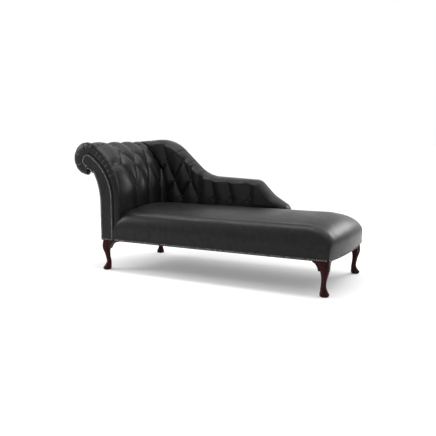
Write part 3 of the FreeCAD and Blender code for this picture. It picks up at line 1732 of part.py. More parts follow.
faults = []
for item in doc.Objects:
    if "Invalid" in item.State or "Error" in item.State:
        faults.append("%s: %s" % (item.Label, item.State))
for item in subparts:
    if item.Shape.isNull() or not item.Shape.isValid():
        faults.append("%s: shape is null or not valid" % item.Label)
if faults:
    raise RuntimeError("; ".join(faults))

os.makedirs("parts", exist_ok=True)
for item in subparts:
    item.Shape.exportStep("parts/%s.step" % item.Label)
    box = item.Shape.BoundBox
    print("%-24s solids %3d  volume %10.0f  x %7.1f %7.1f  y %7.1f %7.1f  z %6.1f %6.1f" % (
        item.Label, len(item.Shape.Solids), item.Shape.Volume,
        box.XMin, box.XMax, box.YMin, box.YMax, box.ZMin, box.ZMax))
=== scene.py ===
"""A buttoned black leather chaise longue: its upholstery, nails and finishes."""

import math

import bmesh
import bpy
import numpy as np
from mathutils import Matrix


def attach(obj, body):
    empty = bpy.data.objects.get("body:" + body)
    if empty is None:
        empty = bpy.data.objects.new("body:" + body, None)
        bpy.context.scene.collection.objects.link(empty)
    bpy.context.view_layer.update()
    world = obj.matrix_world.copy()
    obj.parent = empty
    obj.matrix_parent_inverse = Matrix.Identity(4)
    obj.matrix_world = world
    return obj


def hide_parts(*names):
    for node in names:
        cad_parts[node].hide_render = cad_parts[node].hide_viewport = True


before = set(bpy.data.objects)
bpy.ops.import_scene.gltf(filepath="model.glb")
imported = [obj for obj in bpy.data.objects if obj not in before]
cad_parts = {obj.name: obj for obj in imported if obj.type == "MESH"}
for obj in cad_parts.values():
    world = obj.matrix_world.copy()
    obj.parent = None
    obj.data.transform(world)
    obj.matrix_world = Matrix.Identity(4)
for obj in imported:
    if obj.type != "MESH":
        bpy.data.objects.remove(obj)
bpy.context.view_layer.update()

# Sizes in millimetres from the front head corner of the rails, as the frame was drawn

DEPTH = 684                     # over the front and back rails
BOTTOM = 196                    # underside of the rails
DECK = 281.1                    # top of the cloth over the springs
MIDDLE_X, MIDDLE_Y = 669, 342   # middle of the frame from above
TUFT = 26                       # how far a pad stands out at its fullest
LEATHER = 3
GAP = 2                         # between two stuffed pieces


def metres(points):
    """Corner millimetres to the frame's metres."""
    return (np.asarray(points, float) - (MIDDLE_X, MIDDLE_Y, 0)) / 1000


# Outlines in the side view, sampled about every millimetre

class Line:
    """A sampled outline with the way outward at each place."""

    def __init__(self, points):
        points = np.asarray(points, float)
        keep = np.r_[True, np.linalg.norm(np.diff(points, axis=0), axis=1) > 1e-6]
        self.points = points[keep]
        steps = np.diff(self.points, axis=0)
        self.along = np.r_[0, np.cumsum(np.linalg.norm(steps, axis=1))]
        self.length = self.along[-1]
        heading = np.gradient(self.points, self.along, axis=0)
        heading /= np.linalg.norm(heading, axis=1)[:, None]
        self.outward = np.stack([heading[:, 1], -heading[:, 0]], axis=1)

    def at(self, along):
        """The point and the way outward at a distance along the outline."""
        point = [np.interp(along, self.along, self.points[:, i]) for i in (0, 1)]
        way = [np.interp(along, self.along, self.outward[:, i]) for i in (0, 1)]
        size = np.hypot(way[0], way[1])
        return np.stack(point, -1), np.stack([way[0] / size, way[1] / size], -1)

    def beside(self, offset):
        return Line(self.points + self.outward * offset)

    def along_at_x(self, x):
        """How far along the outline first passes a place, going head-wards."""
        return self.along[np.argmax(self.points[:, 0] <= x)]


def straight(start, end):
    count = max(int(math.dist(start, end)), 2)
    share = np.linspace(0, 1, count)[:, None]
    return np.asarray(start) * (1 - share) + np.asarray(end) * share


def arc(centre, radius, first, last):
    count = max(int(abs(math.radians(last - first)) * radius), 3)
    turn = np.radians(np.linspace(first, last, count))
    return np.stack([centre[0] + radius * np.cos(turn), centre[1] + radius * np.sin(turn)], 1)


def lean(start, end):
    """The angle from one point to another, in degrees."""
    return math.degrees(math.atan2(end[1] - start[1], end[0] - start[0]))


def rounded(corners, radii):
    """Straight stretches joined by tangent arcs."""
    corners = [np.asarray(corner, float) for corner in corners]
    points = [corners[0]]
    for before, knob, after, radius in zip(corners, corners[1:], corners[2:], radii):
        come = (knob - before) / np.linalg.norm(knob - before)
        leave = (after - knob) / np.linalg.norm(after - knob)
        turn = math.atan2(come[0] * leave[1] - come[1] * leave[0], come @ leave)
        side = 1 if turn > 0 else -1
        reach = radius * math.tan(abs(turn) / 2)
        touch = knob - come * reach
        centre = touch + np.array([-come[1], come[0]]) * radius * side
        first = lean(centre, touch)
        points += list(straight(points[-1], touch))
        points += list(arc(centre, radius, first, first + math.degrees(turn)))
    points += list(straight(points[-1], corners[-1]))
    return Line(points)


def circles_cross(first, first_radius, second, second_radius):
    """Where two circles cross, on the right of the line between their centres."""
    apart = math.dist(first, second)
    share = (first_radius ** 2 - second_radius ** 2 + apart ** 2) / (2 * apart)
    height = -math.sqrt(first_radius ** 2 - share ** 2)
    along = ((second[0] - first[0]) / apart, (second[1] - first[1]) / apart)
    return (first[0] + along[0] * share - along[1] * height,
            first[1] + along[1] * share + along[0] * height)


# The scroll's facing: its edge beside the seat, its head and its outer sweep

HEAD, HEAD_RADIUS = (-98, 705), 42
FACING_EDGE, FACING_CENTRE, FACING_SWEEP = 93, (-233.2, 455), 326.2
OUTER_CENTRE, OUTER_SWEEP, NECK_RADIUS = (-391, 440), 391, 60
NECK = circles_cross(OUTER_CENTRE, OUTER_SWEEP - NECK_RADIUS, HEAD, HEAD_RADIUS + NECK_RADIUS)
BAND_END = 262                  # degrees round the head where the pleated band stops

facing_lean = lean(FACING_CENTRE, HEAD)
outer_lean = lean(OUTER_CENTRE, NECK)


def facing_inner(grow, start_z):
    edge = FACING_EDGE + grow
    return Line(np.vstack([
        straight((edge, start_z), (edge, FACING_CENTRE[1])),
        arc(FACING_CENTRE, FACING_SWEEP + grow, 0, facing_lean),
        arc(HEAD, HEAD_RADIUS + grow, facing_lean, BAND_END)]))


def facing_outer(inset):
    return Line(np.vstack([
        arc(NECK, NECK_RADIUS + inset, lean(NECK, HEAD), outer_lean),
        arc(OUTER_CENTRE, OUTER_SWEEP - inset, outer_lean, 0),
        straight((-inset, OUTER_CENTRE[1]), (-inset, BOTTOM))]))


# The arm: upright from the seat, a sweep outward, then the roll

ARM_FRONT, ARM_STRAIGHT = 136, 470
ARM_CENTRE, ARM_SWEEP = (-252.5, ARM_STRAIGHT), 388.5
ROLL, ROLL_RADIUS = (-117, 719), 105
ROLL_END = 300                  # degrees round the roll where its leather stops

arm_lean = lean(ARM_CENTRE, ROLL)


def arm_outline(inset, start_z):
    return Line(np.vstack([
        straight((ARM_FRONT - inset, start_z), (ARM_FRONT - inset, ARM_STRAIGHT)),
        arc(ARM_CENTRE, ARM_SWEEP - inset, 0, arm_lean),
        arc(ROLL, ROLL_RADIUS - inset, arm_lean, ROLL_END)]))


def arm_face():
    """The arm's fullest line, from the deck up to its highest point."""
    line = arm_outline(0, DECK)
    count = np.argmax(line.points[:, 1]) + 1
    return line.points[:count, 0], line.points[:count, 1]


def arm_face_x(z):
    """How far the arm's fullest line reaches at a height."""
    face_x, face_z = arm_face()
    return np.interp(z, face_z, face_x)


def arm_face_z(x):
    """How high the arm's fullest line reaches at a place along the seat."""
    face_x, face_z = arm_face()
    return np.interp(-x, -face_x, face_z, right=ROLL[1] + ROLL_RADIUS)


# The back: its top line from the low tail up to the roll, and its leather's face

BACK_CORNERS = [(1048, 272), (1048, 401.5), (935, 469), (836, 570), (434, 587),
                (149, 846), (-117, 824)]
BACK_RADII = [50, 150, 75, 240, 280]
TAIL_TURN = 60                  # degrees, the bend at the top of the upright tail
BACK_FACE = 604
BACK_ROLL = 34                  # height of the rolled top edge

back_line = rounded(BACK_CORNERS, BACK_RADII)


# The seat: long edges that turn over, a crowned middle, a round and bowed foot end

EDGE_ROUND = 80                 # how far in from the rails the edges turn over
EDGE_START, SHOULDER = 278, 386
CROWN = 30                      # the middle over the shoulder
HEAD_DROP, HEAD_DROP_EASE = 62, 0.6
SEAT_HEAD, HEAD_ROUND = 94, 120
LEATHER_HEAD, HEAD_TUCK = 94.3, 78
FOOT_END, FOOT_BOW = 1521, 27   # the corners, and the middle past them
FOOT_SWELL, FOOT_ROUND = 12, 230
FULL_RISE = SHOULDER + CROWN - BOTTOM


def foot_end_x(y):
    return FOOT_END + FOOT_BOW * (1 - ((y - MIDDLE_Y) / MIDDLE_Y) ** 2)


def foot_face_share(scale):
    """The share of the foot end's height that stands up straight."""
    return 0.38 + 0.45 * (1 - scale)


def seat_height(y):
    near = np.clip(np.minimum(y, DEPTH - y), 0, None)
    share = np.clip((near - EDGE_ROUND) / (MIDDLE_Y - EDGE_ROUND), 0, 1)
    crown = SHOULDER + CROWN * (1 - (1 - share) ** 2)
    side = np.clip(1 - near / EDGE_ROUND, 0, 1)
    edge = EDGE_START + (SHOULDER - EDGE_START) * np.sqrt(1 - side ** 2)
    return np.where(near >= EDGE_ROUND, crown, edge)


def seat_head_height(y):
    """The seat's height where it dips under the arm, less so towards the back."""
    drop = HEAD_DROP * (1 - HEAD_DROP_EASE * y / DEPTH)
    return seat_height(y) - drop * (seat_height(y) - BOTTOM) / (SHOULDER - BOTTOM)


def seat_top(x, y):
    share = np.clip((x - SEAT_HEAD) / HEAD_ROUND, 0, 1)
    head = seat_head_height(y)
    return head + (seat_height(y) - head) * np.sqrt(1 - (1 - share) ** 2)


# Meshes

def new_piece(name, points, faces):
    mesh = bpy.data.meshes.new(name)
    mesh.from_pydata([tuple(point) for point in metres(points)], [], faces)
    builder = bmesh.new()
    builder.from_mesh(mesh)
    bmesh.ops.recalc_face_normals(builder, faces=builder.faces)
    builder.to_mesh(mesh)
    builder.free()
    mesh.shade_smooth()
    piece = bpy.data.objects.new(name, mesh)
    bpy.context.scene.collection.objects.link(piece)
    return piece


def quilt(name, front, back):
    """A closed piece between a front and a back grid of points."""
    rows, columns = front.shape[:2]
    count = rows * columns
    index = np.arange(count).reshape(rows, columns)
    a, b = index[:-1, :-1].ravel(), index[:-1, 1:].ravel()
    c, d = index[1:, 1:].ravel(), index[1:, :-1].ravel()
    faces = np.stack([a, b, c, d], 1).tolist()
    faces += (np.stack([d, c, b, a], 1) + count).tolist()
    rim = np.r_[index[0, :], index[1:, -1], index[-1, -2::-1], index[-2:0:-1, 0]]
    after = np.roll(rim, -1)
    faces += np.stack([after, rim, rim + count, after + count], 1).tolist()
    points = np.vstack([front.reshape(-1, 3), back.reshape(-1, 3)])
    return new_piece(name, points, faces)


def swept(name, sections):
    """A closed piece through a row of closed sections."""
    rows, columns = sections.shape[:2]
    index = np.arange(rows * columns).reshape(rows, columns)
    beside = np.roll(index, -1, axis=1)
    faces = np.stack([index[:-1].ravel(), beside[:-1].ravel(),
                      beside[1:].ravel(), index[1:].ravel()], 1).tolist()
    ends = [sections[0].mean(0), sections[-1].mean(0)]
    points = np.vstack([sections.reshape(-1, 3), ends])
    for row, centre in ((0, len(points) - 2), (rows - 1, len(points) - 1)):
        for a, b in zip(index[row], beside[row]):
            faces.append([int(a), int(b), centre])
    return new_piece(name, points, faces)


def rings_along(point, outward, rows):
    """A section at each point of an outline, from rows of (way outward, depth)."""
    return np.stack([np.stack([point[:, 0] + outward[:, 0] * away,
                               np.broadcast_to(y, len(point)),
                               point[:, 1] + outward[:, 1] * away], -1)
                     for away, y in rows], 1)


def pleated(along, places, width):
    """How far leather is drawn in along a line: 1 at each pleat, 0 between them."""
    drawn = np.zeros(len(along))
    for place in places:
        drawn = np.maximum(drawn, np.exp(-((along - place) / width) ** 2))
    return drawn


def softened(field, times):
    """A light blur that keeps the borders."""
    for _ in range(times):
        wide = np.pad(field, 1, mode="edge")
        field = (wide[1:-1, 1:-1] * 4 + wide[:-2, 1:-1] + wide[2:, 1:-1]
                 + wide[1:-1, :-2] + wide[1:-1, 2:]) / 8
    return field


def wander(x, y, seed, scale):
    """Smooth uneven values between -1 and 1."""
    waves = 7
    random = np.random.default_rng(seed)
    total = np.zeros(np.broadcast(x, y).shape)
    for _ in range(waves):
        way = random.uniform(0, 2 * math.pi)
        wave = random.uniform(0.6, 1.7) * 2 * math.pi / scale
        shift = random.uniform(0, 2 * math.pi)
        total += np.sin((x * math.cos(way) + y * math.sin(way)) * wave + shift)
    return total / waves


# Pads between pleats. A pad is its left and right borders, each a list of (distance up
# the leather, place across it), and whether its foot and its top are closed by a pleat.

PAD_REACH = 0.5                 # how far a pad still counts past its ends
CLOSED_FADE = 50                # how soon a pad fills up from an end that is closed
BLUR = 2                        # how often the pads' heights are softened


def fullness(distance):
    """How full a pad is at a distance from its closed end."""
    return 0.3 + 0.7 * np.clip(distance / CLOSED_FADE, 0, 1) ** 0.5


def pad_height(along, across, pads, pitch):
    height = np.zeros(np.broadcast(along, across).shape)
    for left, right, closed_low, closed_high in pads:
        bottom, top = left[0][0], left[-1][0]
        start = np.interp(along, [p[0] for p in left], [p[1] for p in left])
        end = np.interp(along, [p[0] for p in right], [p[1] for p in right])
        half = np.maximum((end - start) / 2, 0.01)
        share = (across - (start + end) / 2) / half
        full = np.sin(np.minimum(half / (pitch / 2), 1) * math.pi / 2) ** 0.8
        if closed_low:
            full = full * fullness(along - bottom)
        if closed_high:
            full = full * fullness(top - along)
        dome = np.clip(1 - share ** 2, 0, 1) ** 0.62
        limit = top + PAD_REACH if closed_high else np.inf
        inside = (along >= bottom - PAD_REACH) & (along <= limit) & (np.abs(share) < 1)
        height = np.maximum(height, np.where(inside, TUFT * full * dome, 0))
    return height


def buttoned(height, along, across, buttons, seed):
    """Wells and gathers round each button, and uneven stuffing between them."""
    well, ring, ring_width = 12, 19, 9
    gather_rise, gathered_from, least = 0.7, 1.5, 0.2
    unevenness, patch = 0.05, 120
    height = height * (1 + unevenness * wander(along, across, seed, patch))
    for number, (row, place) in enumerate(buttons):
        reach = np.hypot(along - row, across - place)
        turn = np.arctan2(along - row, across - place)
        height = height * (1 - 0.9 * np.exp(-(reach / well) ** 2))
        gather = np.cos(9 * turn + number) + 0.6 * np.cos(5 * turn + 2 * number)
        near = np.exp(-((reach - ring) / ring_width) ** 2)
        height = height + gather_rise * gather * near * (height > gathered_from)
    return np.clip(height, least, TUFT)


# The buttoned inside of the arm: rows up the arm's outline, places across its depth

ARM_PITCH = 145
ARM_ROW_ANGLES = (9.3, 33.5, 52.5)
ARM_FIRST, ARM_BACK, BAND_BACK = 172, 655.5, 45

valley = arm_outline(TUFT, DECK)
arm_low, arm_mid, arm_top = [ARM_STRAIGHT - DECK + (ARM_SWEEP - TUFT) * math.radians(angle)
                             for angle in ARM_ROW_ANGLES]


def arm_pads():
    end = valley.length - TUFT
    half = ARM_PITCH / 2
    pads = []
    y = ARM_FIRST + half
    while y < ARM_BACK - half:
        pads.append(([(arm_low, y), (arm_mid, y - half), (arm_top, y)],
                     [(arm_low, y), (arm_mid, y + half), (arm_top, y)], False, False))
        y += ARM_PITCH
    y = ARM_FIRST + ARM_PITCH
    while y < ARM_BACK:
        left, right = y - half, min(y + half, ARM_BACK)
        pads.append(([(arm_mid, y), (arm_top, left), (end, left)],
                     [(arm_mid, y), (arm_top, right), (end, right)], False, True))
        pads.append(([(0, left), (arm_low, left), (arm_mid, y)],
                     [(0, right), (arm_low, right), (arm_mid, y)], False, False))
        y += ARM_PITCH
    right = ARM_FIRST + half
    pads.append(([(arm_mid, BAND_BACK), (end, BAND_BACK)],
                 [(arm_mid, ARM_FIRST), (arm_top, right), (end, right)], True, True))
    pads.append(([(0, BAND_BACK), (arm_mid, BAND_BACK)],
                 [(0, right), (arm_low, right), (arm_mid, ARM_FIRST)], False, True))
    return pads


def arm_buttons():
    second = ARM_FIRST + ARM_PITCH / 2
    return [(row, y) for row, first in ((arm_low, second), (arm_mid, ARM_FIRST), (arm_top, second))
            for y in np.arange(first, BACK_FACE - TUFT, ARM_PITCH)]


def make_inside_arm():
    columns, rows, sunk, backing = 176, 236, 2, 5
    across = np.linspace(BAND_BACK, ARM_BACK, columns)
    foot = seat_top(ARM_FRONT - TUFT / 2, across) - DECK - sunk
    share = np.linspace(0, 1, rows)[:, None]
    along = foot[None, :] + (valley.length - foot[None, :]) * share
    y = np.broadcast_to(across, along.shape)
    height = pad_height(along, y, arm_pads(), ARM_PITCH)
    height = softened(buttoned(height, along, y, arm_buttons(), 3), BLUR)
    point, outward = valley.at(along)
    place = point + outward * height[..., None]
    front = np.stack([place[..., 0], y, place[..., 1]], -1)
    under = point - outward * backing
    back = np.stack([under[..., 0], y, under[..., 1]], -1)
    return quilt("arm_inside_leather", front, back)


# The buttoned inside of the back: three rows, and where each pleat meets the rolled edge

BACK_ROWS = [(434, [120, 252, 384, 516, 648, 780]), (552, [59, 193, 327]), (684, [129, 269])]
BACK_PITCH = 132
HIDDEN_PLEAT, LAST_PLEAT = -11, 780
LEAN = 28                       # how far a long channel leans to the rolled edge
EDGE_PLEATS = {129: 101, 269: 241, HIDDEN_PLEAT: -39, 516: 488, 648: 620, LAST_PLEAT: 752,
               327: 327, 384: 412}
PADS_START, PADS_PAST = 300, 4  # the pads' foot in the seat, and how far they pass the roll

inner_back = back_line.beside(-BACK_ROLL - GAP)


def top_of_pads(*ends):
    return max(inner_back.at(inner_back.along_at_x(x))[0][1] for x in ends) + PADS_PAST


def back_pads():
    (low_z, low_row), (mid_z, mid_row), (top_z, top_row) = BACK_ROWS
    pads = []
    for under, left, right, over in zip(low_row, mid_row, mid_row[1:], top_row):
        pads.append(([(low_z, under), (mid_z, left), (top_z, over)],
                     [(low_z, under), (mid_z, right), (top_z, over)], False, False))
    for x, left, right in zip(mid_row, [HIDDEN_PLEAT] + top_row, top_row):
        ends = EDGE_PLEATS[left], EDGE_PLEATS[right]
        top = top_of_pads(*ends)
        pads.append(([(mid_z, x), (top_z, left), (top, ends[0])],
                     [(mid_z, x), (top_z, right), (top, ends[1])], False, False))
    last_mid, last_top, bend = mid_row[-1], top_row[-1], low_row[2]
    top = top_of_pads(EDGE_PLEATS[last_top], last_mid)
    pads.append(([(mid_z, last_mid), (top_z, last_top), (top, EDGE_PLEATS[last_top])],
                 [(mid_z, last_mid), (top, last_mid)], False, False))
    top = top_of_pads(last_mid, EDGE_PLEATS[bend])
    pads.append(([(low_z, bend), (mid_z, last_mid), (top, last_mid)],
                 [(low_z, bend), (top, EDGE_PLEATS[bend])], False, False))
    for x, left, right in zip(mid_row[1:], low_row, low_row[1:]):
        pads.append(([(PADS_START, left), (low_z, left), (mid_z, x)],
                     [(PADS_START, right), (low_z, right), (mid_z, x)], False, False))
    for left, right in zip(low_row[2:], low_row[3:]):
        ends = EDGE_PLEATS.get(left, left + LEAN), EDGE_PLEATS[right]
        top = top_of_pads(*ends)
        pads.append(([(PADS_START, left), (low_z, left), (top, ends[0])],
                     [(PADS_START, right), (low_z, right), (top, ends[1])], False, False))
    return pads


def make_inside_back():
    """The back's leather, and how far its top row stands out at each place."""
    columns, rows, clear, sunk, backing = 300, 150, 1, 3, 5.0
    line = back_line.beside(-BACK_ROLL)
    foot_x = line.points[0, 0]
    sloping = line.points[:, 0] < foot_x - 0.2
    top_x = line.points[sloping, 0][::-1]
    top_z = line.points[sloping, 1][::-1]
    left_x = top_x[np.argmax(top_x > arm_face_x(top_z) + clear)]
    share = np.linspace(0, 1, columns)[None, :]
    rise = np.linspace(0, 1, rows)[:, None]
    low_x = ARM_FRONT + clear + (foot_x - ARM_FRONT - clear) * share
    high_x = left_x + (foot_x - left_x) * share
    low_z = seat_top(low_x, BACK_FACE - TUFT) - sunk
    high_z = np.interp(high_x, top_x, top_z)
    x = low_x + (high_x - low_x) * rise
    z = low_z + (high_z - low_z) * rise
    edge = arm_face_x(z[:, :1]) + clear - x[:, :1]
    x = x + edge * (1 - share) ** 4
    height = pad_height(z, x, back_pads(), BACK_PITCH)
    buttons = [(row_z, place) for row_z, row in BACK_ROWS for place in row]
    height = softened(buttoned(height, z, x, buttons, 8), BLUR)
    # The plain stretch past the last pleat, thinner at its end and at the seat
    plain_tuft, pleat_fade, end_fade = 17, 40, 60
    seat_start, seat_fade = 30, 50
    plain = np.clip((x - LAST_PLEAT) / pleat_fade, 0, 1)
    end = np.clip((foot_x - x) / end_fade, 0, 1) ** 0.6
    above_seat = np.clip((z - low_z + seat_start) / seat_fade, 0, 1) ** 0.6
    height = np.maximum(height, plain_tuft * (plain * end) * above_seat)
    front = np.stack([x, BACK_FACE - height, z], -1)
    back = np.stack([x, np.full(x.shape, BACK_FACE + backing), z], -1)
    return quilt("back_inside_leather", front, back), (x[-1], height[-1])


# The rolled top edge of the back

def make_back_roll(pads_top):
    """A roll from the tail to the arm's roll: flush with the pads, over to the rear."""
    samples, rear, rail, hook_depth = 420, 681, 655.2, 11
    least, pleat_width, pleat_depth, pleat_swell = 1.4, 5.5, 4, 1.5
    bend = BACK_RADII[0] * math.tan(math.radians(TAIL_TURN / 2))
    upright = BACK_CORNERS[1][1] - bend - BACK_CORNERS[0][1]
    start, end = 0.45 * upright, back_line.along_at_x(ROLL[0] + 5)
    along = np.linspace(start, end, samples)
    point, outward = back_line.at(along)
    drop = np.clip(point[:, 1] - arm_face_z(point[:, 0]) - 1, least, BACK_ROLL)
    drop = np.where(point[:, 0] > ARM_FRONT, BACK_ROLL, drop)
    pleats = [back_line.along_at_x(x) for x in EDGE_PLEATS.values()]
    drawn = pleated(along, pleats, pleat_width)
    flat = BACK_FACE + (rear - BACK_FACE) * 0.6
    proud = np.interp(point[:, 0] - outward[:, 0] * BACK_ROLL, *pads_top) * drop / BACK_ROLL
    rows = []
    for angle in np.linspace(0, math.pi / 2, 22):
        away = drop * (1 - math.sin(angle))
        y = flat - (flat - BACK_FACE) * math.cos(angle) - proud * math.cos(angle) ** 1.7
        rows.append((away + drawn * pleat_depth * math.sin(angle),
                     y + drawn * pleat_swell * math.sin(2 * angle)))
    for share in (0.3, 0.6, 0.85):
        rows.append((drawn * pleat_depth * (1 - share) + 0.6 * share ** 4,
                     flat + (rear - flat) * share))
    hook = np.minimum(drop - 0.1, hook_depth)
    rows += [(1.2, rear), (hook, rear), (hook, rail), (drop - 0.05, rail)]
    return swept("back_rolled_leather", rings_along(point, -outward, rows))


# The pleated band round the scroll

def reach_to_arm(point, outward):
    """How far each place on the facing's edge lies from the arm's fullest line."""
    reaches = []
    for spot, way in zip(point, outward):
        if spot[1] <= ARM_STRAIGHT and way[0] > 0.999:
            reaches.append(ARM_FRONT - spot[0])
            continue
        for centre, radius in ((ARM_CENTRE, ARM_SWEEP), (ROLL, ROLL_RADIUS)):
            away = spot - np.asarray(centre)
            along = away @ way
            reach = -along + math.sqrt(along ** 2 - away @ away + radius ** 2)
            hit = spot + way * reach
            if lean(ARM_CENTRE, hit) <= arm_lean and hit[0] > ROLL[0]:
                break
        reaches.append(reach)
    return np.array(reaches)


def make_band():
    """Leather from the facing's edge round to the arm's pads, pleated at the scroll."""
    samples, window, count = 560, 19, 11
    face, turned, last_turn = 5.3, 20, 10.4
    flat_share, pleat_depth = 0.42, 2.2
    line = facing_inner(0, seat_top(SEAT_HEAD, 20) - 4)
    along = np.linspace(0, line.length, samples)
    point, outward = line.at(along)
    reach = np.pad(reach_to_arm(point, outward), window // 2, mode="edge")
    reach = np.convolve(reach, np.ones(window) / window, "valid")
    sweep = FACING_SWEEP * math.radians(facing_lean)
    first = line.length - HEAD_RADIUS * math.radians(BAND_END - facing_lean) - sweep * 0.6
    step = (line.length - first) / count
    fold = pleated(along, first + step * (np.arange(count) + 0.5), step * 0.075)
    rows = [(0.4, face),
            (reach * 0.25, face + 1.2 * fold),
            (reach * flat_share, face + 3.0 * fold)]
    for angle in np.radians(np.linspace(8, 90, 14)):
        away = reach * (flat_share + (1 - flat_share) * math.sin(angle))
        y = face + turned * (1 - math.cos(angle))
        rows.append((away - pleat_depth * fold * math.sin(angle),
                     y + pleat_depth * fold * math.cos(angle)))
    for angle in np.radians(np.linspace(15, 90, 6)):
        away = reach - last_turn * (1 - math.cos(angle))
        rows.append((away - pleat_depth * fold * math.cos(angle) - math.sin(angle),
                     face + turned + (BAND_BACK - face - turned) * math.sin(angle)))
    rows += [(4.8, BAND_BACK), (4.8, 9.3), (0.4, 8.9)]
    return swept("scroll_band_leather", rings_along(point, outward, rows))


# Leather that closes the rear end of the scroll and the thin edges of the facing

def make_rear_scroll():
    """A turned leather edge, gathered where it rounds the rear end of the roll."""
    section = [(76, 655.6), (94, 655.6), (100, 656), (103.2, 657.6), (104.8, 660.5),
               (105, 664), (105, 672), (104.6, 683.2), (101.8, 683.2), (101.8, 658.7),
               (76, 658.7)]
    gathered, gathers, gather_depth = range(2, 6), 22, 1.2
    rings = []
    for turn in np.radians(np.linspace(80, ROLL_END, 180)):
        drawn = gather_depth * math.cos(turn * gathers) ** 12
        ring = []
        for number, (radius, y) in enumerate(section):
            pulled = radius - drawn if number in gathered else radius
            ring.append((ROLL[0] + pulled * math.cos(turn), y,
                         ROLL[1] + pulled * math.sin(turn)))
        rings.append(ring)
    return swept("rear_scroll_leather", np.array(rings))


def make_edge_binding(name, line, start, end, thick):
    samples = 240
    point, outward = line.at(np.linspace(start, end, samples))
    section = [(0.1, 3.6), (0.6, 3.8), (0.9, 5), (1, 7), (0.9, 8.6), (0.6, 9.3), (0.1, 9.4)]
    rows = [(away * thick, y) for away, y in section]
    return swept(name, rings_along(point, outward, rows))


# The seat's leather

def seat_skin(inset):
    """A grid over the seat: rows across the depth, columns from head to foot."""
    quarter = np.radians(np.linspace(0, 90, 26))
    near = EDGE_ROUND * (1 - np.cos(quarter))
    middle = np.linspace(EDGE_ROUND, DEPTH - EDGE_ROUND, 96)[1:-1]
    head = LEATHER_HEAD + inset
    head_end = head + HEAD_ROUND
    grid = []
    for y in np.r_[near, middle, DEPTH - near[::-1]]:
        top = float(seat_height(y)) - inset
        head_top = float(seat_head_height(y)) - inset
        scale = (top - BOTTOM) / FULL_RISE
        end = float(foot_end_x(y)) - inset
        full = end + FOOT_SWELL * scale
        face_top = BOTTOM + (top - BOTTOM) * foot_face_share(scale)
        round_start = full - FOOT_ROUND * scale ** 1.5
        section = [(head, head_top * (1 - share) + (BOTTOM + HEAD_TUCK) * share)
                   for share in (1.0, 0.5)]
        for share in np.linspace(0, 1, 20):
            rise = math.sqrt(max(1 - (1 - share) ** 2, 0))
            section.append((head + HEAD_ROUND * share, head_top + (top - head_top) * rise))
        for share in np.linspace(0, 1, 190)[1:]:
            section.append((head_end + (round_start - head_end) * share, top))
        for angle in np.radians(np.linspace(90, 0, 40))[1:]:
            section.append((round_start + (full - round_start) * math.cos(angle),
                            face_top + (top - face_top) * math.sin(angle)))
        for share in np.linspace(0, 1, 16)[1:]:
            section.append((full - (full - end) * share ** 2,
                            face_top - (face_top - BOTTOM) * share))
        grid.append([(x, y, z) for x, z in section])
    grid = np.array(grid)
    squeeze = (DEPTH - 2 * inset) / DEPTH
    grid[..., 1] = inset + grid[..., 1] * squeeze
    return grid


def with_skirts(grid):
    """The grid with its front and back faces, carried down to the leather's foot."""
    steps = 14
    skirts = []
    for row in (grid[0], grid[-1]):
        skirt = []
        for share in np.linspace(0, 1, steps + 1)[1:]:
            lower = row.copy()
            lower[:, 2] = row[:, 2] + (BOTTOM - row[:, 2]) * share
            skirt.append(lower)
        skirts.append(np.array(skirt))
    return np.vstack([skirts[0][::-1], grid, skirts[1]])


def seat_wear(grid):
    """Soft dips in the stuffed top and drag lines in the upright faces."""
    top_start, top_fade, upright_end, upright_fade, hem = 300, 80, 290, 60, 20
    drag_pitch, drag_depth, drag_end = 61, 0.5, 1500
    x, y, z = grid[..., 0], grid[..., 1], grid[..., 2]
    top = np.clip((z - top_start) / top_fade, 0, 1)
    dips = 1.6 * wander(x, y, 11, 260) + 0.5 * wander(x, y, 12, 70) - 1.5
    upright = np.clip((upright_end - z) / upright_fade, 0, 1)
    upright = upright * np.clip((z - BOTTOM) / hem, 0, 1)
    drag = np.cos((x + 0.15 * z) * 2 * math.pi / drag_pitch + 2 * wander(x, z, 13, 220))
    inward = np.where(y < MIDDLE_Y, 1, -1)
    worn = grid.copy()
    worn[..., 1] += inward * upright * drag_depth * (1 + drag) * (x < drag_end)
    worn[..., 2] += top * dips
    return worn


def make_seat():
    outer = seat_wear(with_skirts(seat_skin(0)))
    inner = with_skirts(seat_skin(LEATHER))
    return quilt("seat_leather", outer, inner)


# Finishes

def finish(name, colour, roughness, **more):
    """A material, its nodes and its shader, with more of the shader's sockets by name."""
    material = bpy.data.materials.new(name)
    material.use_nodes = True
    shader = material.node_tree.nodes["Principled BSDF"]
    shader.inputs["Base Color"].default_value = (*colour, 1)
    shader.inputs["Roughness"].default_value = roughness
    for key, value in more.items():
        shader.inputs[key.replace("_", " ")].default_value = value
    return material, material.node_tree, shader


def add(tree, kind, **settings):
    node = tree.nodes.new("ShaderNode" + kind)
    for key, value in settings.items():
        setattr(node, key, value)
    return node


def scaled_place(tree, scale=(1, 1, 1)):
    place = add(tree, "TexCoord")
    mapping = add(tree, "Mapping")
    mapping.inputs["Scale"].default_value = scale
    tree.links.new(place.outputs["Object"], mapping.inputs["Vector"])
    return mapping.outputs["Vector"]


def noise(tree, vector, scale, detail=3, roughness=0.5):
    node = add(tree, "TexNoise")
    node.inputs["Scale"].default_value = scale
    node.inputs["Detail"].default_value = detail
    node.inputs["Roughness"].default_value = roughness
    tree.links.new(vector, node.inputs["Vector"])
    return node.outputs["Fac"]


def ramp(tree, value, dark_end, dark, light_end, light):
    """A colour that goes from dark to light as a value goes from one end to the other."""
    node = add(tree, "ValToRGB")
    stops = ((dark_end, dark), (light_end, light))
    for element, (place, colour) in zip(node.color_ramp.elements, stops):
        element.position = place
        element.color = (*colour, 1)
    tree.links.new(value, node.inputs["Fac"])
    return node.outputs["Color"]


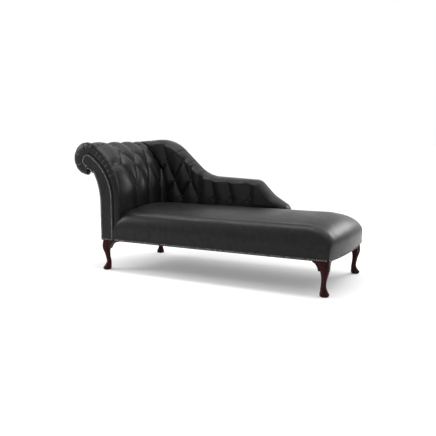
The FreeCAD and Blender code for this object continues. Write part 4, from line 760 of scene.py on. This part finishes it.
def spread(tree, value, least, most):
    """A value between 0 and 1 spread between two others."""
    node = add(tree, "MapRange")
    node.inputs["To Min"].default_value = least
    node.inputs["To Max"].default_value = most
    tree.links.new(value, node.inputs["Value"])
    return node.outputs["Result"]


def bump(tree, heights, shader):
    """Bumps in a chain, each (height, strength, depth in metres)."""
    last = None
    for height, strength, depth in heights:
        node = add(tree, "Bump")
        node.inputs["Strength"].default_value = strength
        node.inputs["Distance"].default_value = depth
        tree.links.new(height, node.inputs["Height"])
        if last:
            tree.links.new(last, node.inputs["Normal"])
        last = node.outputs["Normal"]
    tree.links.new(last, shader.inputs["Normal"])


def leather(name, gloss, crease):
    """Black hide: fine pebbled grain, soft creases and slightly rubbed tops."""
    deep, rubbed, bend_size = (0.004, 0.004, 0.0045), (0.011, 0.0105, 0.0105), 0.0012
    material, tree, shader = finish(name, (0.01, 0.01, 0.011), gloss, Specular_IOR_Level=0.17)
    place = scaled_place(tree)
    cells = add(tree, "TexVoronoi", feature="DISTANCE_TO_EDGE")
    cells.inputs["Scale"].default_value = 520
    warp = add(tree, "TexNoise")
    warp.inputs["Scale"].default_value = 160
    bend = add(tree, "VectorMath", operation="MULTIPLY_ADD")
    bend.inputs[1].default_value = (bend_size, bend_size, bend_size)
    tree.links.new(place, warp.inputs["Vector"])
    tree.links.new(warp.outputs["Color"], bend.inputs[0])
    tree.links.new(place, bend.inputs[2])
    tree.links.new(bend.outputs["Vector"], cells.inputs["Vector"])
    creases = noise(tree, place, 34, 5, 0.62)
    slow = noise(tree, place, 7)
    tree.links.new(spread(tree, slow, gloss - 0.09, gloss + 0.1), shader.inputs["Roughness"])
    tree.links.new(ramp(tree, creases, 0.3, deep, 0.7, rubbed), shader.inputs["Base Color"])
    bump(tree, [(creases, crease, 0.0022), (cells.outputs["Distance"], 0.22, 0.0006)], shader)
    return material


def wood(name, dark, light, gloss, along):
    """Straight grain along one axis, with fine pores in its bump."""
    material, tree, shader = finish(name, light, gloss, Specular_IOR_Level=0.1)
    scale = [9.0, 9.0, 9.0]
    scale[along] = 0.8
    place = scaled_place(tree, scale)
    figure = noise(tree, place, 5, 6, 0.6)
    pores = noise(tree, place, 60, 2, 0.7)
    tree.links.new(ramp(tree, figure, 0.32, dark, 0.68, light), shader.inputs["Base Color"])
    tree.links.new(spread(tree, figure, gloss - 0.06, gloss + 0.08), shader.inputs["Roughness"])
    bump(tree, [(pores, 0.18, 0.0004)], shader)
    return material


def cloth(name, dark, light, threads, rough):
    """Plain weave: threads both ways, uneven in thickness."""
    material, tree, shader = finish(name, light, rough)
    place = scaled_place(tree)
    heights = []
    for way in ("X", "Y"):
        wave = add(tree, "TexWave", bands_direction=way)
        wave.inputs["Scale"].default_value = threads
        wave.inputs["Distortion"].default_value = 1.2
        wave.inputs["Detail Scale"].default_value = 4
        tree.links.new(place, wave.inputs["Vector"])
        heights.append((wave.outputs["Fac"], 0.5, 0.0004))
    shade = noise(tree, place, threads * 1.5)
    tree.links.new(ramp(tree, shade, 0.3, dark, 0.7, light), shader.inputs["Base Color"])
    bump(tree, heights, shader)
    return material


def metal(name, dark, light, rough):
    """Tarnished metal, duller and darker in patches."""
    material, tree, shader = finish(name, light, rough, Metallic=1.0)
    place = scaled_place(tree)
    patches = noise(tree, place, 90, 4, 0.6)
    tree.links.new(ramp(tree, patches, 0.35, dark, 0.65, light), shader.inputs["Base Color"])
    tree.links.new(spread(tree, patches, rough + 0.12, rough - 0.08), shader.inputs["Roughness"])
    bump(tree, [(patches, 0.12, 0.0003)], shader)
    return material


def sponge(name, colour):
    """Foam: open cells, with painted shade in their hollows and painted light on their walls."""
    material, tree, shader = finish(name, colour, 0.95)
    place = scaled_place(tree)
    cells = noise(tree, place, 500)
    # Painted shade and light: the noise that bumps the cell walls up also colours them paler, and
    # the hollows darker
    pale = tuple(min(1, channel * 1.15) for channel in colour)
    tree.links.new(ramp(tree, cells, 0.35, colour, 0.65, pale), shader.inputs["Base Color"])
    bump(tree, [(cells, 0.6, 0.001)], shader)
    return material


ALONG_SEAT, UPWARD = 0, 2       # the ways that grain runs

finishes = {
    "black_leather": leather("black_hide", 0.36, 0.16),
    "beech": wood("beech_frame", (0.42, 0.27, 0.15), (0.6, 0.42, 0.26), 0.6, ALONG_SEAT),
    "birch_ply": wood("birch_ply_panel", (0.55, 0.4, 0.25), (0.72, 0.56, 0.38), 0.6, UPWARD),
    "mahogany": wood("polished_mahogany", (0.006, 0.0004, 0.0005), (0.036, 0.0016, 0.002),
                     0.27, UPWARD),
    "hessian": cloth("hessian_cloth", (0.3, 0.2, 0.1), (0.5, 0.37, 0.21), 260, 0.9),
    "webbing": cloth("jute_webbing", (0.36, 0.25, 0.13), (0.56, 0.43, 0.26), 180, 0.85),
    "black_cloth": cloth("black_under_cloth", (0.012, 0.012, 0.012), (0.03, 0.03, 0.03),
                         400, 0.95),
    "foam": sponge("stuffing_foam", (0.6, 0.54, 0.36)),
    "twine": cloth("waxed_twine", (0.45, 0.36, 0.22), (0.66, 0.56, 0.38), 700, 0.7),
    "spring_steel": metal("spring_wire", (0.05, 0.05, 0.055), (0.16, 0.16, 0.17), 0.38),
    "zinc_steel": metal("zinc_plate", (0.42, 0.43, 0.45), (0.62, 0.63, 0.65), 0.32),
    "antique_nail": metal("antiqued_nail", (0.03, 0.028, 0.027), (0.2, 0.19, 0.18), 0.34),
}

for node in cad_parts.values():
    for slot in node.material_slots:
        key = slot.material.name.split(".")[0]
        slot.material = finishes[key]


# Stud nails: one dome repeated along the edges of the leather

NAIL_PITCH, NAIL_RADIUS, NAIL_RISE = 12.5, 5, 2.4
ROW_INSET = 6.2                 # from a row's end to its first nail
NAIL_EDGE = 7                   # from the leather's edge to its nails


def nail_tree():
    tree = bpy.data.node_groups.new("nail_row", "GeometryNodeTree")
    face = tree.interface
    face.new_socket("Geometry", in_out="INPUT", socket_type="NodeSocketGeometry")
    face.new_socket("Pitch", in_out="INPUT", socket_type="NodeSocketFloat")
    face.new_socket("Radius", in_out="INPUT", socket_type="NodeSocketFloat")
    face.new_socket("Rise", in_out="INPUT", socket_type="NodeSocketFloat")
    face.new_socket("Finish", in_out="INPUT", socket_type="NodeSocketMaterial")
    face.new_socket("Geometry", in_out="OUTPUT", socket_type="NodeSocketGeometry")

    def node(kind, **settings):
        made = tree.nodes.new(kind)
        for key, value in settings.items():
            setattr(made, key, value)
        return made

    link = tree.links.new
    given, result = node("NodeGroupInput"), node("NodeGroupOutput")
    curve = node("GeometryNodeMeshToCurve")
    spaced = node("GeometryNodeResampleCurve", mode="LENGTH")
    outward = node("GeometryNodeInputNamedAttribute", data_type="FLOAT_VECTOR")
    outward.inputs["Name"].default_value = "outward"
    turn = node("FunctionNodeAlignRotationToVector", axis="Z")
    ball = node("GeometryNodeMeshUVSphere")
    ball.inputs["Segments"].default_value = 12
    ball.inputs["Rings"].default_value = 8
    ball.inputs["Radius"].default_value = 1.0
    size = node("ShaderNodeCombineXYZ")
    dome = node("GeometryNodeTransform")
    each = node("GeometryNodeInstanceOnPoints")
    real = node("GeometryNodeRealizeInstances")
    smooth = node("GeometryNodeSetShadeSmooth")
    finished = node("GeometryNodeSetMaterial")
    link(given.outputs["Geometry"], curve.inputs["Mesh"])
    link(curve.outputs["Curve"], spaced.inputs["Curve"])
    link(given.outputs["Pitch"], spaced.inputs["Length"])
    link(outward.outputs["Attribute"], turn.inputs["Vector"])
    link(given.outputs["Radius"], size.inputs["X"])
    link(given.outputs["Radius"], size.inputs["Y"])
    link(given.outputs["Rise"], size.inputs["Z"])
    link(ball.outputs["Mesh"], dome.inputs["Geometry"])
    link(size.outputs["Vector"], dome.inputs["Scale"])
    link(spaced.outputs["Curve"], each.inputs["Points"])
    link(dome.outputs["Geometry"], each.inputs["Instance"])
    link(turn.outputs["Rotation"], each.inputs["Rotation"])
    link(each.outputs["Instances"], real.inputs["Geometry"])
    link(real.outputs["Geometry"], smooth.inputs["Geometry"])
    link(smooth.outputs["Geometry"], finished.inputs["Geometry"])
    link(given.outputs["Finish"], finished.inputs["Material"])
    link(finished.outputs["Geometry"], result.inputs["Geometry"])
    return tree


NAILS = nail_tree()


def nail_rows(name, rows):
    """Nails along rows of (points, ways outward), as one plain mesh."""
    points, ways, edges = [], [], []
    for row_points, row_ways in rows:
        first = len(points)
        points += list(row_points)
        ways += list(row_ways)
        edges += [(first + i, first + i + 1) for i in range(len(row_points) - 1)]
    mesh = bpy.data.meshes.new(name + "_path")
    mesh.from_pydata([tuple(point) for point in metres(points)], edges, [])
    layer = mesh.attributes.new("outward", "FLOAT_VECTOR", "POINT")
    layer.data.foreach_set("vector", np.asarray(ways, float).ravel())
    guide = bpy.data.objects.new(name + "_path", mesh)
    bpy.context.scene.collection.objects.link(guide)
    modifier = guide.modifiers.new("nails", "NODES")
    modifier.node_group = NAILS
    values = {"Pitch": NAIL_PITCH / 1000, "Radius": NAIL_RADIUS / 1000,
              "Rise": NAIL_RISE / 1000, "Finish": finishes["antique_nail"]}
    for item in NAILS.interface.items_tree:
        if item.in_out == "INPUT" and item.name in values:
            modifier[item.identifier] = values[item.name]
    depsgraph = bpy.context.evaluated_depsgraph_get()
    made = bpy.data.meshes.new_from_object(guide.evaluated_get(depsgraph))
    guide.modifiers.clear()
    bpy.data.objects.remove(guide)
    made.name = name
    piece = bpy.data.objects.new(name, made)
    bpy.context.scene.collection.objects.link(piece)
    return piece


def nail_row(points, ways):
    """A row drawn in at both ends and sampled every few millimetres, with its ways."""
    points, ways = np.asarray(points, float), np.asarray(ways, float)
    along = np.r_[0, np.cumsum(np.linalg.norm(np.diff(points, axis=0), axis=1))]
    places = np.linspace(ROW_INSET, along[-1] - ROW_INSET, max(int(along[-1] / 3), 4))

    def sampled(values):
        return np.stack([np.interp(places, along, values[:, i]) for i in range(3)], 1)

    return sampled(points), sampled(ways)


def flat_row(points, way, level):
    """A row on a flat face: points in side view, at one depth."""
    points = np.asarray(points, float)
    spots = np.stack([points[:, 0], np.full(len(points), level), points[:, 1]], 1)
    return nail_row(spots, np.tile(way, (len(points), 1)))


def bowed_row(z):
    """A row round the bowed foot end, at one height."""
    samples, proud = 60, 0.5
    y = np.linspace(NAIL_EDGE, DEPTH - NAIL_EDGE, samples)
    scale = (seat_height(y) - BOTTOM) / FULL_RISE
    face_rise = (seat_height(y) - BOTTOM) * foot_face_share(scale)
    share = np.clip((z - BOTTOM) / face_rise, 0, 1)
    x = foot_end_x(y) + FOOT_SWELL * scale * (1 - (1 - share) ** 2) + proud
    ways = np.stack([np.ones(len(y)), -np.gradient(x, y), np.zeros(len(y))], 1)
    ways /= np.linalg.norm(ways, axis=1)[:, None]
    return nail_row(np.stack([x, y, np.full(len(y), z)], 1), ways)


nail_z = BOTTOM + NAIL_EDGE
facing_foot, seat_front, seat_back = (10, 83), (103, 1513), (NAIL_EDGE, 1513)
seat_head = (16, DEPTH - NAIL_EDGE)
frontward, backward, headward = (0, -1, 0), (0, 1, 0), (-1, 0, 0)
facing_nails = nail_rows("facing_nails", [
    flat_row(facing_inner(-NAIL_EDGE, nail_z).points, frontward, 0),
    flat_row(facing_outer(-NAIL_EDGE).points, frontward, 0),
    flat_row([(x, nail_z) for x in facing_foot], frontward, 0)])
seat_nails = nail_rows("seat_nails", [
    flat_row([(x, nail_z) for x in seat_front], frontward, 0),
    flat_row([(x, nail_z) for x in seat_back], backward, DEPTH),
    nail_row([(0, y, nail_z) for y in seat_head], [headward, headward]),
    bowed_row(nail_z)])


# Dressing the frame

def dress(piece, slot, *nodes, fill=None):
    if not piece.data.materials:
        piece.data.materials.append(finishes[slot])
    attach(piece, "root")
    if nodes:
        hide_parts(*nodes)


dress(make_inside_arm(), "black_leather", "inside_arm_cover", "arm_foam", fill=0.8)
inside_back, pads_top = make_inside_back()
dress(inside_back, "black_leather", "inside_back_cover", "back_foam", fill=0.8)
dress(make_back_roll(pads_top), "black_leather", "back_rolled_edge", fill=0.85)
dress(make_band(), "black_leather", "pleated_scroll_band", fill=0.85)
dress(make_seat(), "black_leather", "seat_cover", "seat_foam", fill=0.9)
dress(make_rear_scroll(), "black_leather", "rear_scroll_edge", fill=0.9)
outer_edge, seat_edge = facing_outer(0), facing_inner(0, BOTTOM)
dress(make_edge_binding("facing_edge_leather", outer_edge, 14, outer_edge.length, 1.5),
      "black_leather")
dress(make_edge_binding("facing_seat_edge_leather", seat_edge, 0, 150, 1.0), "black_leather")
dress(facing_nails, "antique_nail", "facing_studs")
dress(seat_nails, "antique_nail", "seat_rail_studs")


# Floor and surroundings

def light_mix(tree, seen, unseen, target):
    """One strength where a thing is seen or mirrored, another where it only lights."""
    path = add(tree, "LightPath")
    total = path.outputs["Is Camera Ray"]
    for ray in ("Is Glossy Ray", "Is Transmission Ray"):
        either = add(tree, "Math", operation="MAXIMUM")
        tree.links.new(total, either.inputs[0])
        tree.links.new(path.outputs[ray], either.inputs[1])
        total = either.outputs[0]
    tree.links.new(spread(tree, total, unseen, seen), target)


world = bpy.data.worlds.new("studio")
world.use_nodes = True
background = world.node_tree.nodes["Background"]
background.inputs["Color"].default_value = (1, 1, 1, 1)
light_mix(world.node_tree, 1.0, 0.7, background.inputs["Strength"])
bpy.context.scene.world = world

FLOOR_REACH = 40
floor_mesh = bpy.data.meshes.new("studio_floor")
floor_mesh.from_pydata([(-FLOOR_REACH, -FLOOR_REACH, 0), (FLOOR_REACH, -FLOOR_REACH, 0),
                        (FLOOR_REACH, FLOOR_REACH, 0), (-FLOOR_REACH, FLOOR_REACH, 0)],
                       [], [(0, 1, 2, 3)])
floor = bpy.data.objects.new("studio_floor", floor_mesh)
bpy.context.scene.collection.objects.link(floor)
pale, pale_tree, pale_shader = finish("pale_floor", (0.86, 0.86, 0.86), 0.9,
                                      Emission_Color=(1, 1, 1, 1))
light_mix(pale_tree, 0.18, 0.0, pale_shader.inputs["Emission Strength"])
floor.data.materials.append(pale)


# Lamps: place in metres, turn in degrees

def lamp(name, kind, energy, place, turn, **settings):
    data = bpy.data.lights.new(name, kind)
    data.energy = energy
    for key, value in settings.items():
        setattr(data, key, value)
    item = bpy.data.objects.new(name, data)
    item.location = place
    item.rotation_euler = [math.radians(angle) for angle in turn]
    bpy.context.scene.collection.objects.link(item)


lamp("soft_top", "SUN", 0.9, (0, 0, 4), (-18, 8, 0), angle=math.radians(50))
lamp("overhead_strip", "AREA", 26, (-0.5, -0.2, 2.1), (0, 0, 0),
     shape="RECTANGLE", size=2.2, size_y=0.5)
lamp("behind_right", "AREA", 22, (1.5, 2.0, 1.35), (-62, 0, -25), size=0.9)
lamp("left_window", "AREA", 26, (-2.4, -1.2, 1.6), (58, 0, -60), size=0.9)

# The camera, at the photograph's height and angle

FOCAL_LENGTH, SENSOR = 49.34, 36
EYE_PLACE, EYE_TILT, EYE_ROUND = (1.783, -3.379, 0.868), 82.13, 27.71

camera = bpy.data.cameras.new("photo_camera")
camera.lens = FOCAL_LENGTH
camera.sensor_width = SENSOR
eye = bpy.data.objects.new("photo_camera", camera)
eye.location = EYE_PLACE
eye.rotation_euler = (math.radians(EYE_TILT), 0, math.radians(EYE_ROUND))
bpy.context.scene.collection.objects.link(eye)
bpy.context.scene.camera = eye
bpy.context.scene.view_settings.view_transform = "Standard"
